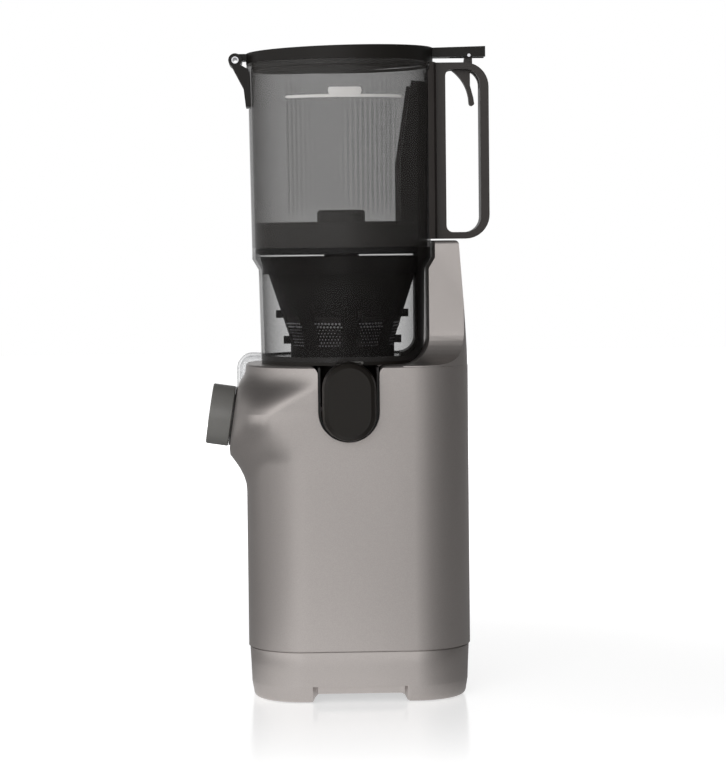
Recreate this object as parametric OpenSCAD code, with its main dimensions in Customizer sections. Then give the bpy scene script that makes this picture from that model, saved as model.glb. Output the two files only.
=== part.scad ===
// Cold press juicer with a large self-feeding hopper.
// Millimetres. +Z is up and the floor is z = 0. The origin is the middle of the floor plan.
// -X is the front with the control knob, +X the back with the column and the handle,
// -Y the side that the pulp leaves by, +Y the side that the juice leaves by.
// Every piece is drawn about the drive axis and then stood on it by on_drive().

/* [Base] */
// Distance of the drive axis behind the middle of the floor plan
drive_x = -3.8; // [-6:0.1:0]
// Distance from the drive axis to the front face
body_front = 73; // [71:0.5:78]
// Distance from the drive axis to the back face
body_back = 92; // [90:0.5:98]
// Width of the base across the two outlets
body_w = 152; // [148:1:164]
// Plan radius of the base's corners
corner_r = 42; // [34:1:46]
// Plan radius of the deck's front corners
deck_corner_r = 66; // [50:1:68]
// Wall of the base's mouldings
wall = 3; // [2.4:0.1:3.6]
// Height of the feet under the skirt
foot_h = 5; // [4:0.5:8]
// Diameter of one foot pad
foot_d = 20; // [14:1:24]
// Height of the skirt
skirt_h = 34.5; // [30:0.5:40]
// How far the skirt is set back from the housing
skirt_inset = 2.2; // [1:0.1:4]
// How much further the skirt draws in towards the floor
skirt_taper = 3.4; // [1:0.1:5]
// Length of the finger recess along the skirt
recess_len = 66; // [50:1:80]
// Height of the finger recess
recess_h = 10; // [6:0.5:14]
// Depth of the finger recess
recess_depth = 9; // [6:0.5:12]
// Height of the lower housing
lower_h = 173.5; // [168:0.5:190]
// Height of the upper housing, from the parting line to the deck
upper_h = 34.5; // [33:0.5:42]

/* [Column] */
// Height of the column above the deck
column_h = 91; // [88:0.5:92]
// Width of the column
column_w = 100; // [80:1:110]
// Radius of the flare where the column's sides meet the deck
column_flare = 25; // [16:1:25]
// How far the column's back leans in at its top
column_lean = 6.6; // [2:0.2:8]
// Gap between the bowl and the column
column_gap = 1.2; // [0.8:0.1:2]

/* [Control knob] */
// Diameter of the knob
knob_d = 45.6; // [40:0.2:50]
// Length of the knob
knob_len = 17; // [14:0.5:22]
// Backward lean of the knob's face
knob_tilt = 8.6; // [0:0.2:14]
// Distance of the knob's centre below the parting line
knob_drop = 5.5; // [0:0.5:10]
// Reach of the nose in front of the base
nose_reach = 9.5; // [7:0.5:14]
// Plan radius of the corners where the nose runs out into the sides
nose_corner_r = 18; // [12:1:30]
// Gap behind the knob that the bezel shows in
knob_gap = 1.6; // [1.4:0.1:3]
// Diameter of the switch spindle
spindle_d = 8; // [6:0.5:10]

/* [Motor and gears] */
// Diameter of the motor can
motor_d = 84; // [70:1:88]
// Height of the motor can
motor_h = 88; // [70:1:92]
// Diameter of the rotor's shaft
rotor_shaft_d = 6; // [5:0.5:7]
// Diameter of the drive shaft
drive_d = 14; // [12:0.5:16]
// Teeth on either pinion
pinion_teeth = 12; // [12:1:14]
// Teeth on either wheel
wheel_teeth = 60; // [54:1:60]
// Tooth module of the first stage
fast_module = 0.9; // [0.8:0.05:0.95]
// Tooth module of the second stage
slow_module = 1.4; // [1.2:0.05:1.45]
// Face width of the first stage
fast_face = 8; // [6:0.5:9]
// Face width of the second stage
slow_face = 16; // [12:0.5:17]

/* [Bowl] */
// Outer diameter of the bowl at its floor
bowl_d = 122.4; // [116:0.2:124]
// How much wider the bowl is under its collar
bowl_taper = 2.8; // [1:0.2:4]
// Wall of the bowl and the hopper
clear_wall = 2.4; // [2:0.1:3]
// Height of the bowl above the deck, up to its collar
bowl_h = 70.5; // [66:0.5:72]
// Height of the collar that takes the hopper
collar_h = 16; // [14:0.5:20]
// Radius of the scoop at the bowl's back
scoop_r = 19.5; // [17:0.5:21]
// Width of the stiffening rib inside the bowl's back
rib_w = 24; // [12:1:30]
// Diameter of the hub under the bowl
hub_d = 84; // [78:1:84]
// Depth of the hub below the deck
hub_h = 29; // [26:0.5:30]
// Outer diameter of the juice spout
spout_d = 25; // [20:0.5:25]
// Distance from the drive axis to the spout's nozzle
spout_reach = 107; // [105:0.5:112]
// Angle between the spout and the front
spout_angle = 50; // [46:1:54]

/* [Pulp chute] */
// Width of the pulp chute's shield
chute_w = 39; // [34:0.5:41]
// How far the shield stands out from the side of the base
chute_out = 21; // [18:0.5:26]
// Height of the chute's lowest point above the floor
chute_low = 193.5; // [193:0.5:200]
// How far the chute's middle lies behind the drive axis
chute_x = 2.5; // [0:0.5:5]
// Width of the notch that the chute lies in
notch_w = 45; // [44:0.5:50]

/* [Strainer and auger] */
// Outer diameter of the strainer's rim
strainer_d = 112; // [108:0.5:114]
// Outer diameter of the strainer's foot
strainer_foot_d = 78; // [76:0.5:80]
// Wall of the strainer
strainer_wall = 1.8; // [1.4:0.1:2.4]
// Height of the strainer's upright foot
strainer_foot_h = 12; // [8:0.5:14]
// Number of strainer windows
windows = 8; // [6:1:10]
// Diameter of one strainer hole
hole_d = 1.6; // [1:0.1:1.8]
// Diameter of the auger's neck
neck_d = 26.4; // [22:0.2:30]
// Diameter of the auger's head
head_d = 36; // [32:0.5:44]
// Height of the auger's head
head_h = 9; // [6:0.5:12]
// Turns that each flight of the auger makes
flight_turns = 1.25; // [0.75:0.25:1.75]

/* [Hopper] */
// Outer diameter of the hopper at its foot
hopper_d = 134.6; // [132:0.2:136]
// How much wider the hopper is at its rim
hopper_taper = 3; // [1:0.2:4]
// Height of the hopper
hopper_h = 137.5; // [120:0.5:150]
// Radius of the throat that leads to the auger
throat_r = 39; // [34:0.5:41]
// Height of the funnel in the hopper's foot
funnel_h = 19; // [14:0.5:22]
// Ribs on either side of the hopper
hopper_ribs = 15; // [5:2:15]

/* [Handle] */
// Width of the grip and its plate
handle_w = 24; // [20:0.5:30]
// Thickness of the plate against the hopper
plate_t = 10.6; // [8:0.2:13]
// Clear space between the plate and the grip
grip_gap = 26; // [24:0.5:30]
// Thickness of the grip
grip_t = 6.4; // [5:0.2:9]
// Outer radius of the grip's corners
grip_r = 18; // [14:0.5:20]

/* [Lid] */
// Thickness of the lid at the hinge
lid_t = 6.5; // [6:0.5:9]
// Rise of the lid's top towards the handle
lid_slope = 1.3; // [0.5:0.1:1.5]
// Depth of the plug at the hinge
plug_h = 5.5; // [4:0.5:8]
// Slope of the plug's lower edge
plug_slope = 2.8; // [1:0.1:3.2]
// Radius of the hinge barrel
barrel_r = 5; // [4.6:0.1:6]
// Outer radius of the hollow hinge pin
pin_r = 2.6; // [2.2:0.1:3]
// Width of the release trigger
trigger_w = 9; // [7:0.5:10]

/* [Hidden] */
$fn = 96;
HULL_FN = 32;
EPS = 0.01;
fit = 0.05;        // radial clearance of a shaft in its bore
seat = 0.1;        // gap where one piece rests on another
slip = 0.3;        // gap between neighbours that don't touch
far = 400;         // longer than anything here

// Heights
z_lower = foot_h + skirt_h;
z_seam = z_lower + lower_h;
z_deck = z_seam + upper_h;
z_floor = z_deck + seat + 2.4;          // underside of the bowl's floor
z_collar = z_deck + bowl_h;
z_split = z_collar + collar_h;          // the hopper's foot
z_rim = z_split + hopper_h;
z_knob = z_seam - knob_drop;
z_column = z_deck + column_h;

// Plan of the base
plan_x = (body_back - body_front) / 2;  // middle of the base
half_x = (body_back + body_front) / 2;
half_y = body_w / 2;
nose_in = knob_d / 2 + 2.5;             // the nose is flat out to here
nose_flat = 24;                         // plus this much sideways
nose_side = half_y - 2;                 // and flares out to here
nose_down = nose_in + 28;
nose_up = z_deck - z_knob - 1;
nose_crown = 2.4;                       // how far its face falls back at its sides

// Bowl, strainer and auger
bowl_r = bowl_d / 2;
bowl_top_r = bowl_r + bowl_taper / 2;
collar_r = hopper_d / 2;
scoop_x = bowl_r + 0.6 - scoop_r;       // centre of the scoop
scoop_z = z_deck + seat + scoop_r;
well_r = hub_d / 2 + 1.5;
well_z = z_deck - hub_h - 2.5;
spout_r = spout_d / 2;
spout_z = z_floor + clear_wall - spout_r;
nozzle_z = spout_z - 14;
cap_pin_x = spout_r + 3.2;              // the cap's pin, from the nozzle's axis
cap_pin_z = nozzle_z + 5;
z_strainer = z_floor + clear_wall + seat;
z_strainer_top = z_collar - 1;
strainer_h = z_strainer_top - z_strainer;
z_throat = z_split + 2;
z_head = z_split + funnel_h;

// Pulp chute
chute_r = chute_w / 2;
chute_in_r = 15.5;
chute_y = -half_y - chute_out;
chute_z0 = chute_low + chute_r;         // centres of the shield's two ends
chute_z1 = z_deck - 15.5;
chute_bore = chute_in_r - 1.8;
notch_r = notch_w / 2;
notch_z = chute_low - 1.3 + notch_r;

// Bush for the mains lead
gland_z = 92;
gland_d = 12;

// Hinge and lid
hinge_x = -hopper_d / 2 - hopper_taper / 2 - 9.2;
hinge_z = z_rim + 2.6;
rim_r = hopper_d / 2 + hopper_taper / 2;
lid_r = rim_r + 1.2;
lid_z = z_rim + seat;
plug_r = rim_r - clear_wall - 1.4;
seal_w = 2.4;                           // the ring in the bowl's collar
guide_x = 43;                           // front edge of the hopper's guide
knuckle_w = 16;
ear_w = 8;

// Handle
plate_x = collar_r + 0.9;
grip_x0 = plate_x + plate_t + grip_gap;
grip_x1 = grip_x0 + grip_t;
grip_z0 = z_split + 5.6;
grip_z1 = z_rim - slip;
bar_t = grip_t * 0.78;                  // the grip's bars above and below the fingers
tab_end = grip_x1 - 2.2;
slot_x0 = plate_x + plate_t + 3.4;
slot_x1 = grip_x0 + 2.6;
slot_w = trigger_w + 2;
trigger_x = grip_x0 - 8;                // the trigger's pivot
trigger_z = lid_z + 5;
trigger_pin_r = 1.2;

// Motor and gears
slow_centre = slow_module * (pinion_teeth + wheel_teeth) / 2;
fast_centre = fast_module * (pinion_teeth + wheel_teeth) / 2;
cluster_x = slow_centre;
motor_x = slow_centre - fast_centre;
case_r = slow_module * (wheel_teeth / 2 + 1) + 5.5;
case_z = z_seam - 61;
case_top = z_seam - 20;
case_t = 3;
fast_z = case_z + case_t + 3;
slow_z = fast_z + fast_face + 2.5;
motor_z = case_z - motor_h - 4;
shaft_top = z_floor + clear_wall + 12;
hex_z = z_deck - 14;

// ---------------------------------------------------------------- shapes that repeat

// Points of an arc in a plane, from angle a0 to a1.
function arc(cx, cy, r, a0, a1, n = 10) =
    [for (i = [0:n]) [cx + r * cos(a0 + (a1 - a0) * i / n), cy + r * sin(a0 + (a1 - a0) * i / n)]];

// 0 to 1 with a flat start and end.
function ease(t) = let (u = max(0, min(1, t))) u * u * (3 - 2 * u);

// A rectangle with true round corners.
module round_rect(x0, x1, hy, r) {
    translate([x0 + r, -hy]) square([x1 - x0 - 2 * r, 2 * hy]);
    translate([x0, -hy + r]) square([x1 - x0, 2 * hy - 2 * r]);
    for (x = [x0 + r, x1 - r], y = [-hy + r, hy - r]) translate([x, y]) circle(r);
}

// The base's plan, drawn in by inset, with front corners of radius front_r.
module plan(inset = 0, front_r = corner_r) {
    fx = -body_front + front_r;
    bx = body_back - corner_r;
    for (side = [-1, 1]) {
        translate([fx, side * (half_y - front_r)]) circle(front_r - inset);
        translate([bx, side * (half_y - corner_r)]) circle(corner_r - inset);
    }
    polygon([
        [-body_front + inset, front_r - half_y], [fx, inset - half_y], [bx, inset - half_y],
        [body_back - inset, corner_r - half_y], [body_back - inset, half_y - corner_r],
        [bx, half_y - inset], [fx, half_y - inset], [-body_front + inset, half_y - front_r]
    ]);
}

// Stands what is drawn about the drive axis on its place on the floor plan.
module on_drive() {
    translate([drive_x, 0, 0]) children();
}

// A profile in the XZ plane, carried along Y over a width centred on y.
module along_y(w, y = 0) {
    translate([0, y + w / 2, 0]) rotate([90, 0, 0]) linear_extrude(w) children();
}

// A profile in the YZ plane, carried along X from x0 to x1.
module along_x(x0, x1) {
    translate([x0, 0, 0]) rotate([90, 0, 90]) linear_extrude(x1 - x0) children();
}

module tube(r_out, r_in, h) {
    difference() {
        cylinder(r = r_out, h = h);
        translate([0, 0, -EPS]) cylinder(r = r_in, h = h + 2 * EPS);
    }
}

// A pan-head screw whose head's underside is at z = 0, pointing down.
module screw(d, len, head_d, head_h) {
    translate([0, 0, -len]) cylinder(d = d, h = len, $fn = 24);
    difference() {
        cylinder(d = head_d, h = head_h, $fn = 24);
        translate([0, 0, head_h / 2]) cylinder(d = d, h = head_h, $fn = 6);
    }
}

// Turns a shape about the knob's leaning axis, whose +Z points out of the knob's face.
module on_knob_axis() {
    translate([-body_front - nose_reach, 0, z_knob]) rotate([0, -90 + knob_tilt, 0]) children();
}

// Turns a shape so that its +X runs out along the juice spout.
module on_spout() {
    rotate([0, 0, 180 - spout_angle]) children();
}

// Moves a shape to the spout's nozzle, with +X away from the base.
module on_nozzle() {
    translate([-spout_reach * cos(spout_angle), spout_reach * sin(spout_angle), 0]) rotate(90) children();
}

// Gear outline with involute flanks at a 25 degree pressure angle.
function inv(a) = tan(a) * 180 / PI - a;
function half_tooth(r, n, m, thin) =
    let (rb = m * n * cos(25) / 2)
    90 / n * (1 - thin) + inv(25) - inv(acos(min(1, rb / max(r, rb))));
function gear_points(n, m, thin) =
    let (
        root = m * (n / 2 - 1.15),
        base = m * n * cos(25) / 2,
        radii = [root, max(base, root + 0.1 * m), m * n / 2, m * (n / 2 + 0.85)]
    )
    [for (i = [0:n - 1]) for (k = [0:7])
        let (
            r = radii[k < 4 ? k : 7 - k],
            a = 360 * i / n + (k < 4 ? -1 : 1) * half_tooth(r, n, m, thin)
        )
        [r * cos(a), r * sin(a)]];
module gear(n, m, h, thin = 0.06) {
    linear_extrude(h) polygon(gear_points(n, m, thin));
}

// ---------------------------------------------------------------- the housing's outer skin

// Distance from the plan's middle to a rounded rectangle's edge, in the direction (c, s).
function plan_radius(c, s, r) =
    let (
        t = min(half_x / max(abs(c), 1e-6), half_y / max(abs(s), 1e-6)),
        cx = half_x - r,
        cy = half_y - r,
        b = abs(c) * cx + abs(s) * cy
    )
    (t * abs(c) > cx && t * abs(s) > cy) ? b + sqrt(b * b - cx * cx - cy * cy + r * r) : t;

// The front corners tighten where the nose leaves the sides and open out towards the round deck.
function front_corner(z) =
    let (open = corner_r + (deck_corner_r - corner_r) * ease((z - z_knob - 6) / (z_deck - z_knob - 6)))
    nose_corner_r + (open - nose_corner_r) * ease(abs(z - z_knob) / 30);

// How much of the nose a point of the skin takes: 1 on its face, then a concave flare down to 0.
function nose_share(y, v) =
    let (
        w = max(0, abs(y) - nose_flat),
        d = sqrt(w * w + v * v) + 1e-6,
        reach = 1 / sqrt(pow(w / d / (nose_side - nose_flat), 2) + pow(v / d / (v < 0 ? nose_down : nose_up), 2))
    )
    pow(max(0, min(1, 1 - (d - nose_in) / max(reach - nose_in, 1))), 2);

function skin_radius(a, z) =
    let (
        c = cos(a),
        s = sin(a),
        body = plan_radius(c, s, c < 0 ? front_corner(z) : corner_r),
        crown = nose_crown * pow(max(0, abs(body * s) - nose_in) / nose_in, 2),
        flat = c < -0.3 ? (half_x + nose_reach - crown - (z - z_knob) * tan(knob_tilt)) / -c : 0
    )
    body + max(0, flat - body) * nose_share(body * s, z - z_knob);

function skin_ring(z, inset = 0, n = 96) =
    [for (i = [0:n - 1])
        // closer together round the front
        let (a = 360 * i / n + 18 * sin(360 * i / n), r = skin_radius(a, z) - inset)
        [plan_x + r * cos(a), r * sin(a), z]];

// A closed solid through the rings at the given [height, inset] pairs.
module skin(levels, n = 96) {
    count = len(levels);
    points = concat(
        [for (l = levels) each skin_ring(l[0], l[1], n)],
        [[plan_x, 0, levels[0][0]], [plan_x, 0, levels[count - 1][0]]]
    );
    sides = [for (k = [0:count - 2]) for (i = [0:n - 1])
        let (j = (i + 1) % n, a = k * n + i, b = k * n + j)
        each [[a, b + n, b], [a, a + n, b + n]]];
    foot = [for (i = [0:n - 1]) [count * n, i, (i + 1) % n]];
    top = [for (i = [0:n - 1]) [count * n + 1, (count - 1) * n + (i + 1) % n, (count - 1) * n + i]];
    polyhedron(points = points, faces = concat(foot, sides, top), convexity = 6);
}

// ---------------------------------------------------------------- base

// The U-shaped notch that the pulp chute lies in, with rounded lips at the deck.
module notch_outline(inset = 0) {
    r = notch_r - inset;
    lip = 6;
    translate([chute_x, notch_z]) circle(r);
    translate([chute_x - r, notch_z]) square([2 * r, z_deck - notch_z + 1]);
    if (inset == 0)
        for (side = [-1, 1])
            translate([chute_x + side * r, z_deck - lip])
                difference() {
                    translate([side > 0 ? -EPS : -lip + EPS, 0]) square([lip, lip + 1]);
                    translate([side * lip, 0]) circle(lip);
                }
}

module notch_cut() {
    along_y(half_y - well_r + 14, -(half_y + well_r - 2) / 2) notch_outline();
}

// The channel that the juice spout lies in.
module spout_channel() {
    on_spout() {
        translate([well_r - 6, 0, spout_z]) rotate([0, 90, 0]) cylinder(r = spout_r + 1.5, h = 80);
        translate([well_r - 6, -spout_r - 1.5, spout_z]) cube([80, spout_d + 3, z_deck - spout_z + 1]);
    }
}

module lower_housing() {
    on_drive() color([0.58, 0.55, 0.54])
    difference() {
        skin(concat([[z_lower, 0], [z_knob - nose_down, 0]],
            [for (i = [1:11]) [z_knob - nose_down + (z_seam - z_knob + nose_down) * i / 11, 0]]));
        translate([0, 0, z_lower - 1]) linear_extrude(lower_h + 2) plan(wall);
        notch_cut();
        on_knob_axis() translate([0, 0, -20]) cylinder(d = spindle_d + 1, h = 40);
        translate([body_back - wall - 1, 0, gland_z]) rotate([0, 90, 0]) cylinder(d = gland_d, h = wall + 2);
    }
}

// The column, before the bowl's scoop and the flares at its sides are taken off.
module column_block() {
    front = scoop_x + scoop_r + column_gap;
    step = collar_r - bowl_r - 1.4;
    top_r = 3;
    intersection() {
        along_y(body_w) polygon(concat(
            [[scoop_x, z_deck - 2]],
            [[scoop_x, z_deck]],
            arc(scoop_x, z_deck + scoop_r + column_gap, scoop_r + column_gap, -90, 0),
            [[front, z_collar], [front + step, z_collar + 8]],
            [[front + step, z_column]],
            arc(body_back - column_lean - top_r, z_column - top_r, top_r, 90, 8, 6),
            [[body_back, z_deck - 2]]
        ));
        along_x(0, body_back + 1) polygon(concat(
            [[-half_y, z_deck - 2], [-half_y, z_deck]],
            arc(-column_w / 2 - column_flare, z_deck + column_flare, column_flare, -90, 0),
            arc(-column_w / 2 + top_r, z_column - top_r, top_r, 180, 90, 5),
            arc(column_w / 2 - top_r, z_column - top_r, top_r, 90, 0, 5),
            arc(column_w / 2 + column_flare, z_deck + column_flare, column_flare, 180, 270),
            [[half_y, z_deck], [half_y, z_deck - 2]]
        ));
        translate([0, 0, z_deck - 3]) linear_extrude(column_h + 10) plan(slip);
    }
}

module upper_housing() {
    edge = 1.2;
    on_drive() color([0.58, 0.55, 0.54])
    difference() {
        union() {
            difference() {
                skin(concat([for (i = [0:9]) [z_seam + (upper_h - edge) * i / 9, 0]], [[z_deck, edge]]));
                translate([0, 0, z_seam - 1]) linear_extrude(upper_h - wall + 1) plan(wall + 1, deck_corner_r);
            }
            column_block();
            translate([0, 0, z_seam]) cylinder(r = well_r + wall, h = upper_h - 1);
        }
        // the hollow inside the column
        translate([scoop_x + scoop_r + column_gap + 9, -column_w / 2 + wall, z_deck - wall - 1])
            cube([body_back - column_lean - wall - scoop_x - scoop_r - column_gap - 9, column_w - 2 * wall,
                column_h - 4]);
        translate([0, 0, well_z]) cylinder(r = well_r, h = hub_h + 20);
        translate([0, 0, z_seam - 1]) cylinder(d = drive_d + 9, h = 20);
        notch_cut();
        spout_channel();
    }
}

module skirt_shape(inset) {
    hull() {
        translate([0, 0, z_lower - 1]) linear_extrude(1)
            round_rect(-body_front + skirt_inset + inset, body_back - skirt_inset - inset,
                half_y - skirt_inset - inset, corner_r - skirt_inset - inset, $fn = HULL_FN * 2);
        translate([0, 0, foot_h]) linear_extrude(1)
            round_rect(-body_front + skirt_inset + skirt_taper + inset, body_back - skirt_inset - skirt_taper - inset,
                half_y - skirt_inset - skirt_taper - inset, corner_r - skirt_inset - inset, $fn = HULL_FN * 2);
    }
}

// The finger recess under either side, with sloping ends.
module recess_shape() {
    for (side = [-1, 1])
        intersection() {
            along_y(body_w) polygon([
                [plan_x - recess_len / 2 - 3, foot_h - 1], [plan_x + recess_len / 2 + 3, foot_h - 1],
                [plan_x + recess_len / 2 - 1, foot_h + recess_h - 2],
                [plan_x + recess_len / 2 - 4, foot_h + recess_h],
                [plan_x - recess_len / 2 + 4, foot_h + recess_h],
                [plan_x - recess_len / 2 + 1, foot_h + recess_h - 2]
            ]);
            translate([plan_x - recess_len, side > 0 ? half_y - skirt_inset - skirt_taper - recess_depth : -half_y, 0])
                cube([2 * recess_len, skirt_inset + skirt_taper + recess_depth, z_lower]);
        }
}

module base_skirt() {
    rib = wall + 1;
    on_drive() color([0.60, 0.57, 0.56])
    difference() {
        skirt_shape(0);
        difference() {
            translate([0, 0, foot_h - 1]) linear_extrude(skirt_h + 2)
                round_rect(-body_front + skirt_inset + skirt_taper + wall, body_back - skirt_inset - skirt_taper - wall,
                    half_y - skirt_inset - skirt_taper - wall, corner_r - skirt_inset - wall);
            // the wall behind the finger recesses
            for (side = [-1, 1])
                translate([plan_x - recess_len / 2 - rib - 3,
                    side * (half_y - skirt_inset - skirt_taper - recess_depth / 2 - rib / 2) - recess_depth / 2 - rib / 2,
                    foot_h])
                    cube([recess_len + 2 * rib + 6, recess_depth + rib, recess_h + rib]);
        }
        recess_shape();
    }
}

foot_in = 30;
function foot_places() = [for (x = [-body_front + foot_in, body_back - foot_in], y = [-1, 1])
    [x, y * (half_y - foot_in)]];

module bottom_plate() {
    on_drive() color([0.15, 0.15, 0.15])
    difference() {
        translate([0, 0, foot_h]) linear_extrude(wall)
            round_rect(-body_front + skirt_inset + skirt_taper + wall + slip,
                body_back - skirt_inset - skirt_taper - wall - slip,
                half_y - skirt_inset - skirt_taper - recess_depth - wall - 1 - slip, corner_r - skirt_inset - wall - 4);
        for (p = foot_places()) translate([p[0], p[1], foot_h - 1]) cylinder(d = foot_d + slip, h = 2.5);
        // air slots under the motor's fan
        for (i = [-4:4]) translate([motor_x - 22, i * 6 - 1.5, foot_h - 1]) cube([44, 3, wall + 2]);
        for (x = [-body_front + 16, body_back - 16]) translate([x, 0, foot_h - 1]) cylinder(d = 4.2, h = wall + 2);
    }
}

module foot_pads() {
    on_drive() color([0.08, 0.08, 0.08])
    for (p = foot_places()) translate([p[0], p[1], 0]) {
        rotate_extrude() polygon([[0, 0], [foot_d / 2 - 1.5, 0], [foot_d / 2 - 0.4, 0.8], [foot_d / 2, foot_h],
            [foot_d / 2, foot_h + 1.4], [0, foot_h + 1.4]]);
    }
}

module bottom_screws() {
    on_drive() color([0.7, 0.7, 0.72])
    for (x = [-body_front + 16, body_back - 16])
        translate([x, 0, foot_h]) mirror([0, 0, 1]) screw(4, 14, 8, 2.2);
}

// The dark trough that lines the notch, from the well to the outside.
module chute_liner() {
    t = 1.6;
    on_drive() color([0.07, 0.065, 0.06])
    difference() {
        along_y(half_y - wall - well_r + 8, -(half_y - wall + well_r - 8) / 2) difference() {
            intersection() {
                notch_outline(slip);
                translate([-far / 2, 0]) square([far, z_deck - 1]);
            }
            notch_outline(slip + t);
        }
        cylinder(r = max(well_r + wall, case_r) + slip, h = far);
        linear_extrude(far) difference() {
            square(far, center = true);
            plan(wall + 1 + slip);
        }
    }
}

module knob_bezel() {
    on_drive() color([0.10, 0.10, 0.10])
    on_knob_axis() translate([0, 0, seat]) tube(knob_d / 2 - 0.8, spindle_d / 2 + 1.2, knob_gap - 2 * seat - 0.2);
}

module switch_body() {
    on_drive() color([0.16, 0.16, 0.17])
    on_knob_axis() translate([0, 0, -nose_reach - 23]) difference() {
        union() {
            translate([-11, -12, 0]) cube([22, 24, 15]);
            translate([0, 0, 15 - EPS]) cylinder(d = spindle_d + 5, h = 3.4);
        }
        translate([0, 0, 6]) cylinder(d = spindle_d + 2 * fit, h = 40);
    }
}

// Flush bush in the back wall that the mains lead would pass.
module cord_gland() {
    on_drive() color([0.08, 0.08, 0.08])
    translate([body_back - wall - 6, 0, gland_z]) rotate([0, 90, 0]) difference() {
        union() {
            cylinder(d = gland_d + 3, h = 6 - seat);
            cylinder(d = gland_d - 2 * slip, h = wall + 6);
        }
        translate([0, 0, -1]) cylinder(d = 7, h = wall + 20);
    }
}

// ---------------------------------------------------------------- motor and gears

bearing_w = 6;
module motor_can() {
    on_drive() color([0.55, 0.55, 0.57])
    translate([motor_x, 0, motor_z]) difference() {
        union() {
            cylinder(d = motor_d, h = motor_h);
            translate([0, 0, motor_h - EPS]) cylinder(d = 30, h = 3.8);
            for (i = [0:3]) rotate(45 + 90 * i) translate([motor_d / 2 - 3, -6, 12]) cube([6, 12, motor_h - 24]);
        }
        translate([0, 0, 14]) cylinder(d = motor_d - 8, h = motor_h - 18);
        translate([0, 0, -1]) cylinder(d = motor_d - 20, h = 16);
        translate([0, 0, motor_h - 5]) cylinder(d = 19 + 2 * fit, h = 4 + bearing_w);
        for (i = [0:5]) rotate(60 * i + 30) translate([motor_d / 2 - 12, 0, 18]) cube([24, 6, 26]);
    }
}

module motor_bearings() {
    on_drive() color([0.75, 0.75, 0.77])
    translate([motor_x, 0, motor_z + motor_h - 5]) {
        tube(9.5, rotor_shaft_d / 2 + fit, bearing_w);
        // the lower bearing sits in a bridge across the can's mouth
        translate([0, 0, -motor_h + 9]) difference() {
            union() {
                cylinder(r = 9.5, h = bearing_w);
                for (i = [0:2]) rotate(120 * i) translate([8, -3, 0]) cube([motor_d / 2 - 10 - 8 - slip, 6, 3]);
            }
            translate([0, 0, -1]) cylinder(r = rotor_shaft_d / 2 + fit, h = bearing_w + 2);
        }
    }
}

module rotor_core() {
    slots = 12;
    on_drive() color([0.45, 0.40, 0.36])
    translate([motor_x, 0, motor_z + 22]) difference() {
        cylinder(r = motor_d / 2 - 12, h = motor_h - 40);
        for (i = [0:slots - 1]) rotate(360 / slots * i) translate([motor_d / 2 - 17, -1.5, -1]) cube([8, 3, motor_h]);
        translate([0, 0, -1]) cylinder(d = rotor_shaft_d, h = motor_h);
    }
}

module rotor_shaft() {
    on_drive() color([0.78, 0.78, 0.8])
    translate([motor_x, 0, 0]) {
        translate([0, 0, motor_z - 14]) cylinder(d = rotor_shaft_d, h = fast_z - motor_z + 14 + EPS);
        translate([0, 0, fast_z]) rotate(180 / pinion_teeth) gear(pinion_teeth, fast_module, fast_face);
    }
}

module cooling_fan() {
    blades = 7;
    on_drive() color([0.2, 0.2, 0.2])
    translate([motor_x, 0, motor_z - 13]) difference() {
        union() {
            cylinder(r = 9, h = 8);
            cylinder(r = motor_d / 2 - 12, h = 1.6);
            for (i = [0:blades - 1]) rotate(360 / blades * i) translate([8, -1, 0]) rotate(18) cube([20, 1.6, 8]);
        }
        translate([0, 0, -1]) cylinder(d = rotor_shaft_d, h = 12);
    }
}

module case_outline(inset = 0) {
    cluster_r = fast_module * (wheel_teeth / 2 + 1) + 5;
    circle(case_r - inset);
    translate([cluster_x, 0]) circle(cluster_r - inset);
}

function case_screws() = [for (a = [50, 130, 230, 310]) [case_r * cos(a), case_r * sin(a)]];

module gearbox_case() {
    on_drive() color([0.25, 0.25, 0.26])
    difference() {
        translate([0, 0, case_z]) union() {
            linear_extrude(case_top - case_z) case_outline();
            for (p = case_screws()) translate([p[0], p[1], 0]) cylinder(r = 5, h = case_top - case_z);
        }
        translate([0, 0, case_z + case_t]) linear_extrude(far) case_outline(case_t);
        translate([0, 0, slow_z + slow_face + 1.4]) linear_extrude(1) case_outline(case_t - 1);
        translate([motor_x, 0, case_z - 1]) cylinder(d = 19, h = case_t + 2);
        // blind seats of the drive shaft's lower bearing and of the cluster's axle
        translate([0, 0, case_z - 1]) cylinder(d = 14, h = case_t + 2);
        translate([cluster_x, 0, case_z + 1]) cylinder(r = 3 + fit, h = case_t);
        for (p = case_screws()) translate([p[0], p[1], case_top - 10]) cylinder(d = 3, h = 12, $fn = 24);
    }
}

module gearbox_cover() {
    on_drive() color([0.3, 0.3, 0.31])
    difference() {
        translate([0, 0, case_top]) union() {
            linear_extrude(case_t) case_outline();
            for (p = case_screws()) translate([p[0], p[1], 0]) cylinder(r = 5, h = case_t);
            cylinder(r = drive_d / 2 + 9, h = case_t + 7);
        }
        translate([0, 0, case_top - 1]) cylinder(d = drive_d + 3, h = far);
        translate([0, 0, case_top + 3]) cylinder(r = drive_d / 2 + 6 + fit, h = far);
        translate([cluster_x, 0, case_top - 1]) cylinder(r = 3 + fit, h = case_t);
        for (p = case_screws()) translate([p[0], p[1], case_top - 1]) cylinder(d = 3.4, h = case_t + 2, $fn = 24);
    }
}

module gearbox_screws() {
    on_drive() color([0.75, 0.75, 0.77])
    for (p = case_screws()) translate([p[0], p[1], case_top + case_t]) screw(2.8, 12, 6, 2);
}

module cluster_axle() {
    on_drive() color([0.78, 0.78, 0.8])
    translate([cluster_x, 0, case_z + 1 + seat]) cylinder(r = 3, h = case_top - case_z + case_t - 2.4 - 2 * seat);
}

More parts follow.
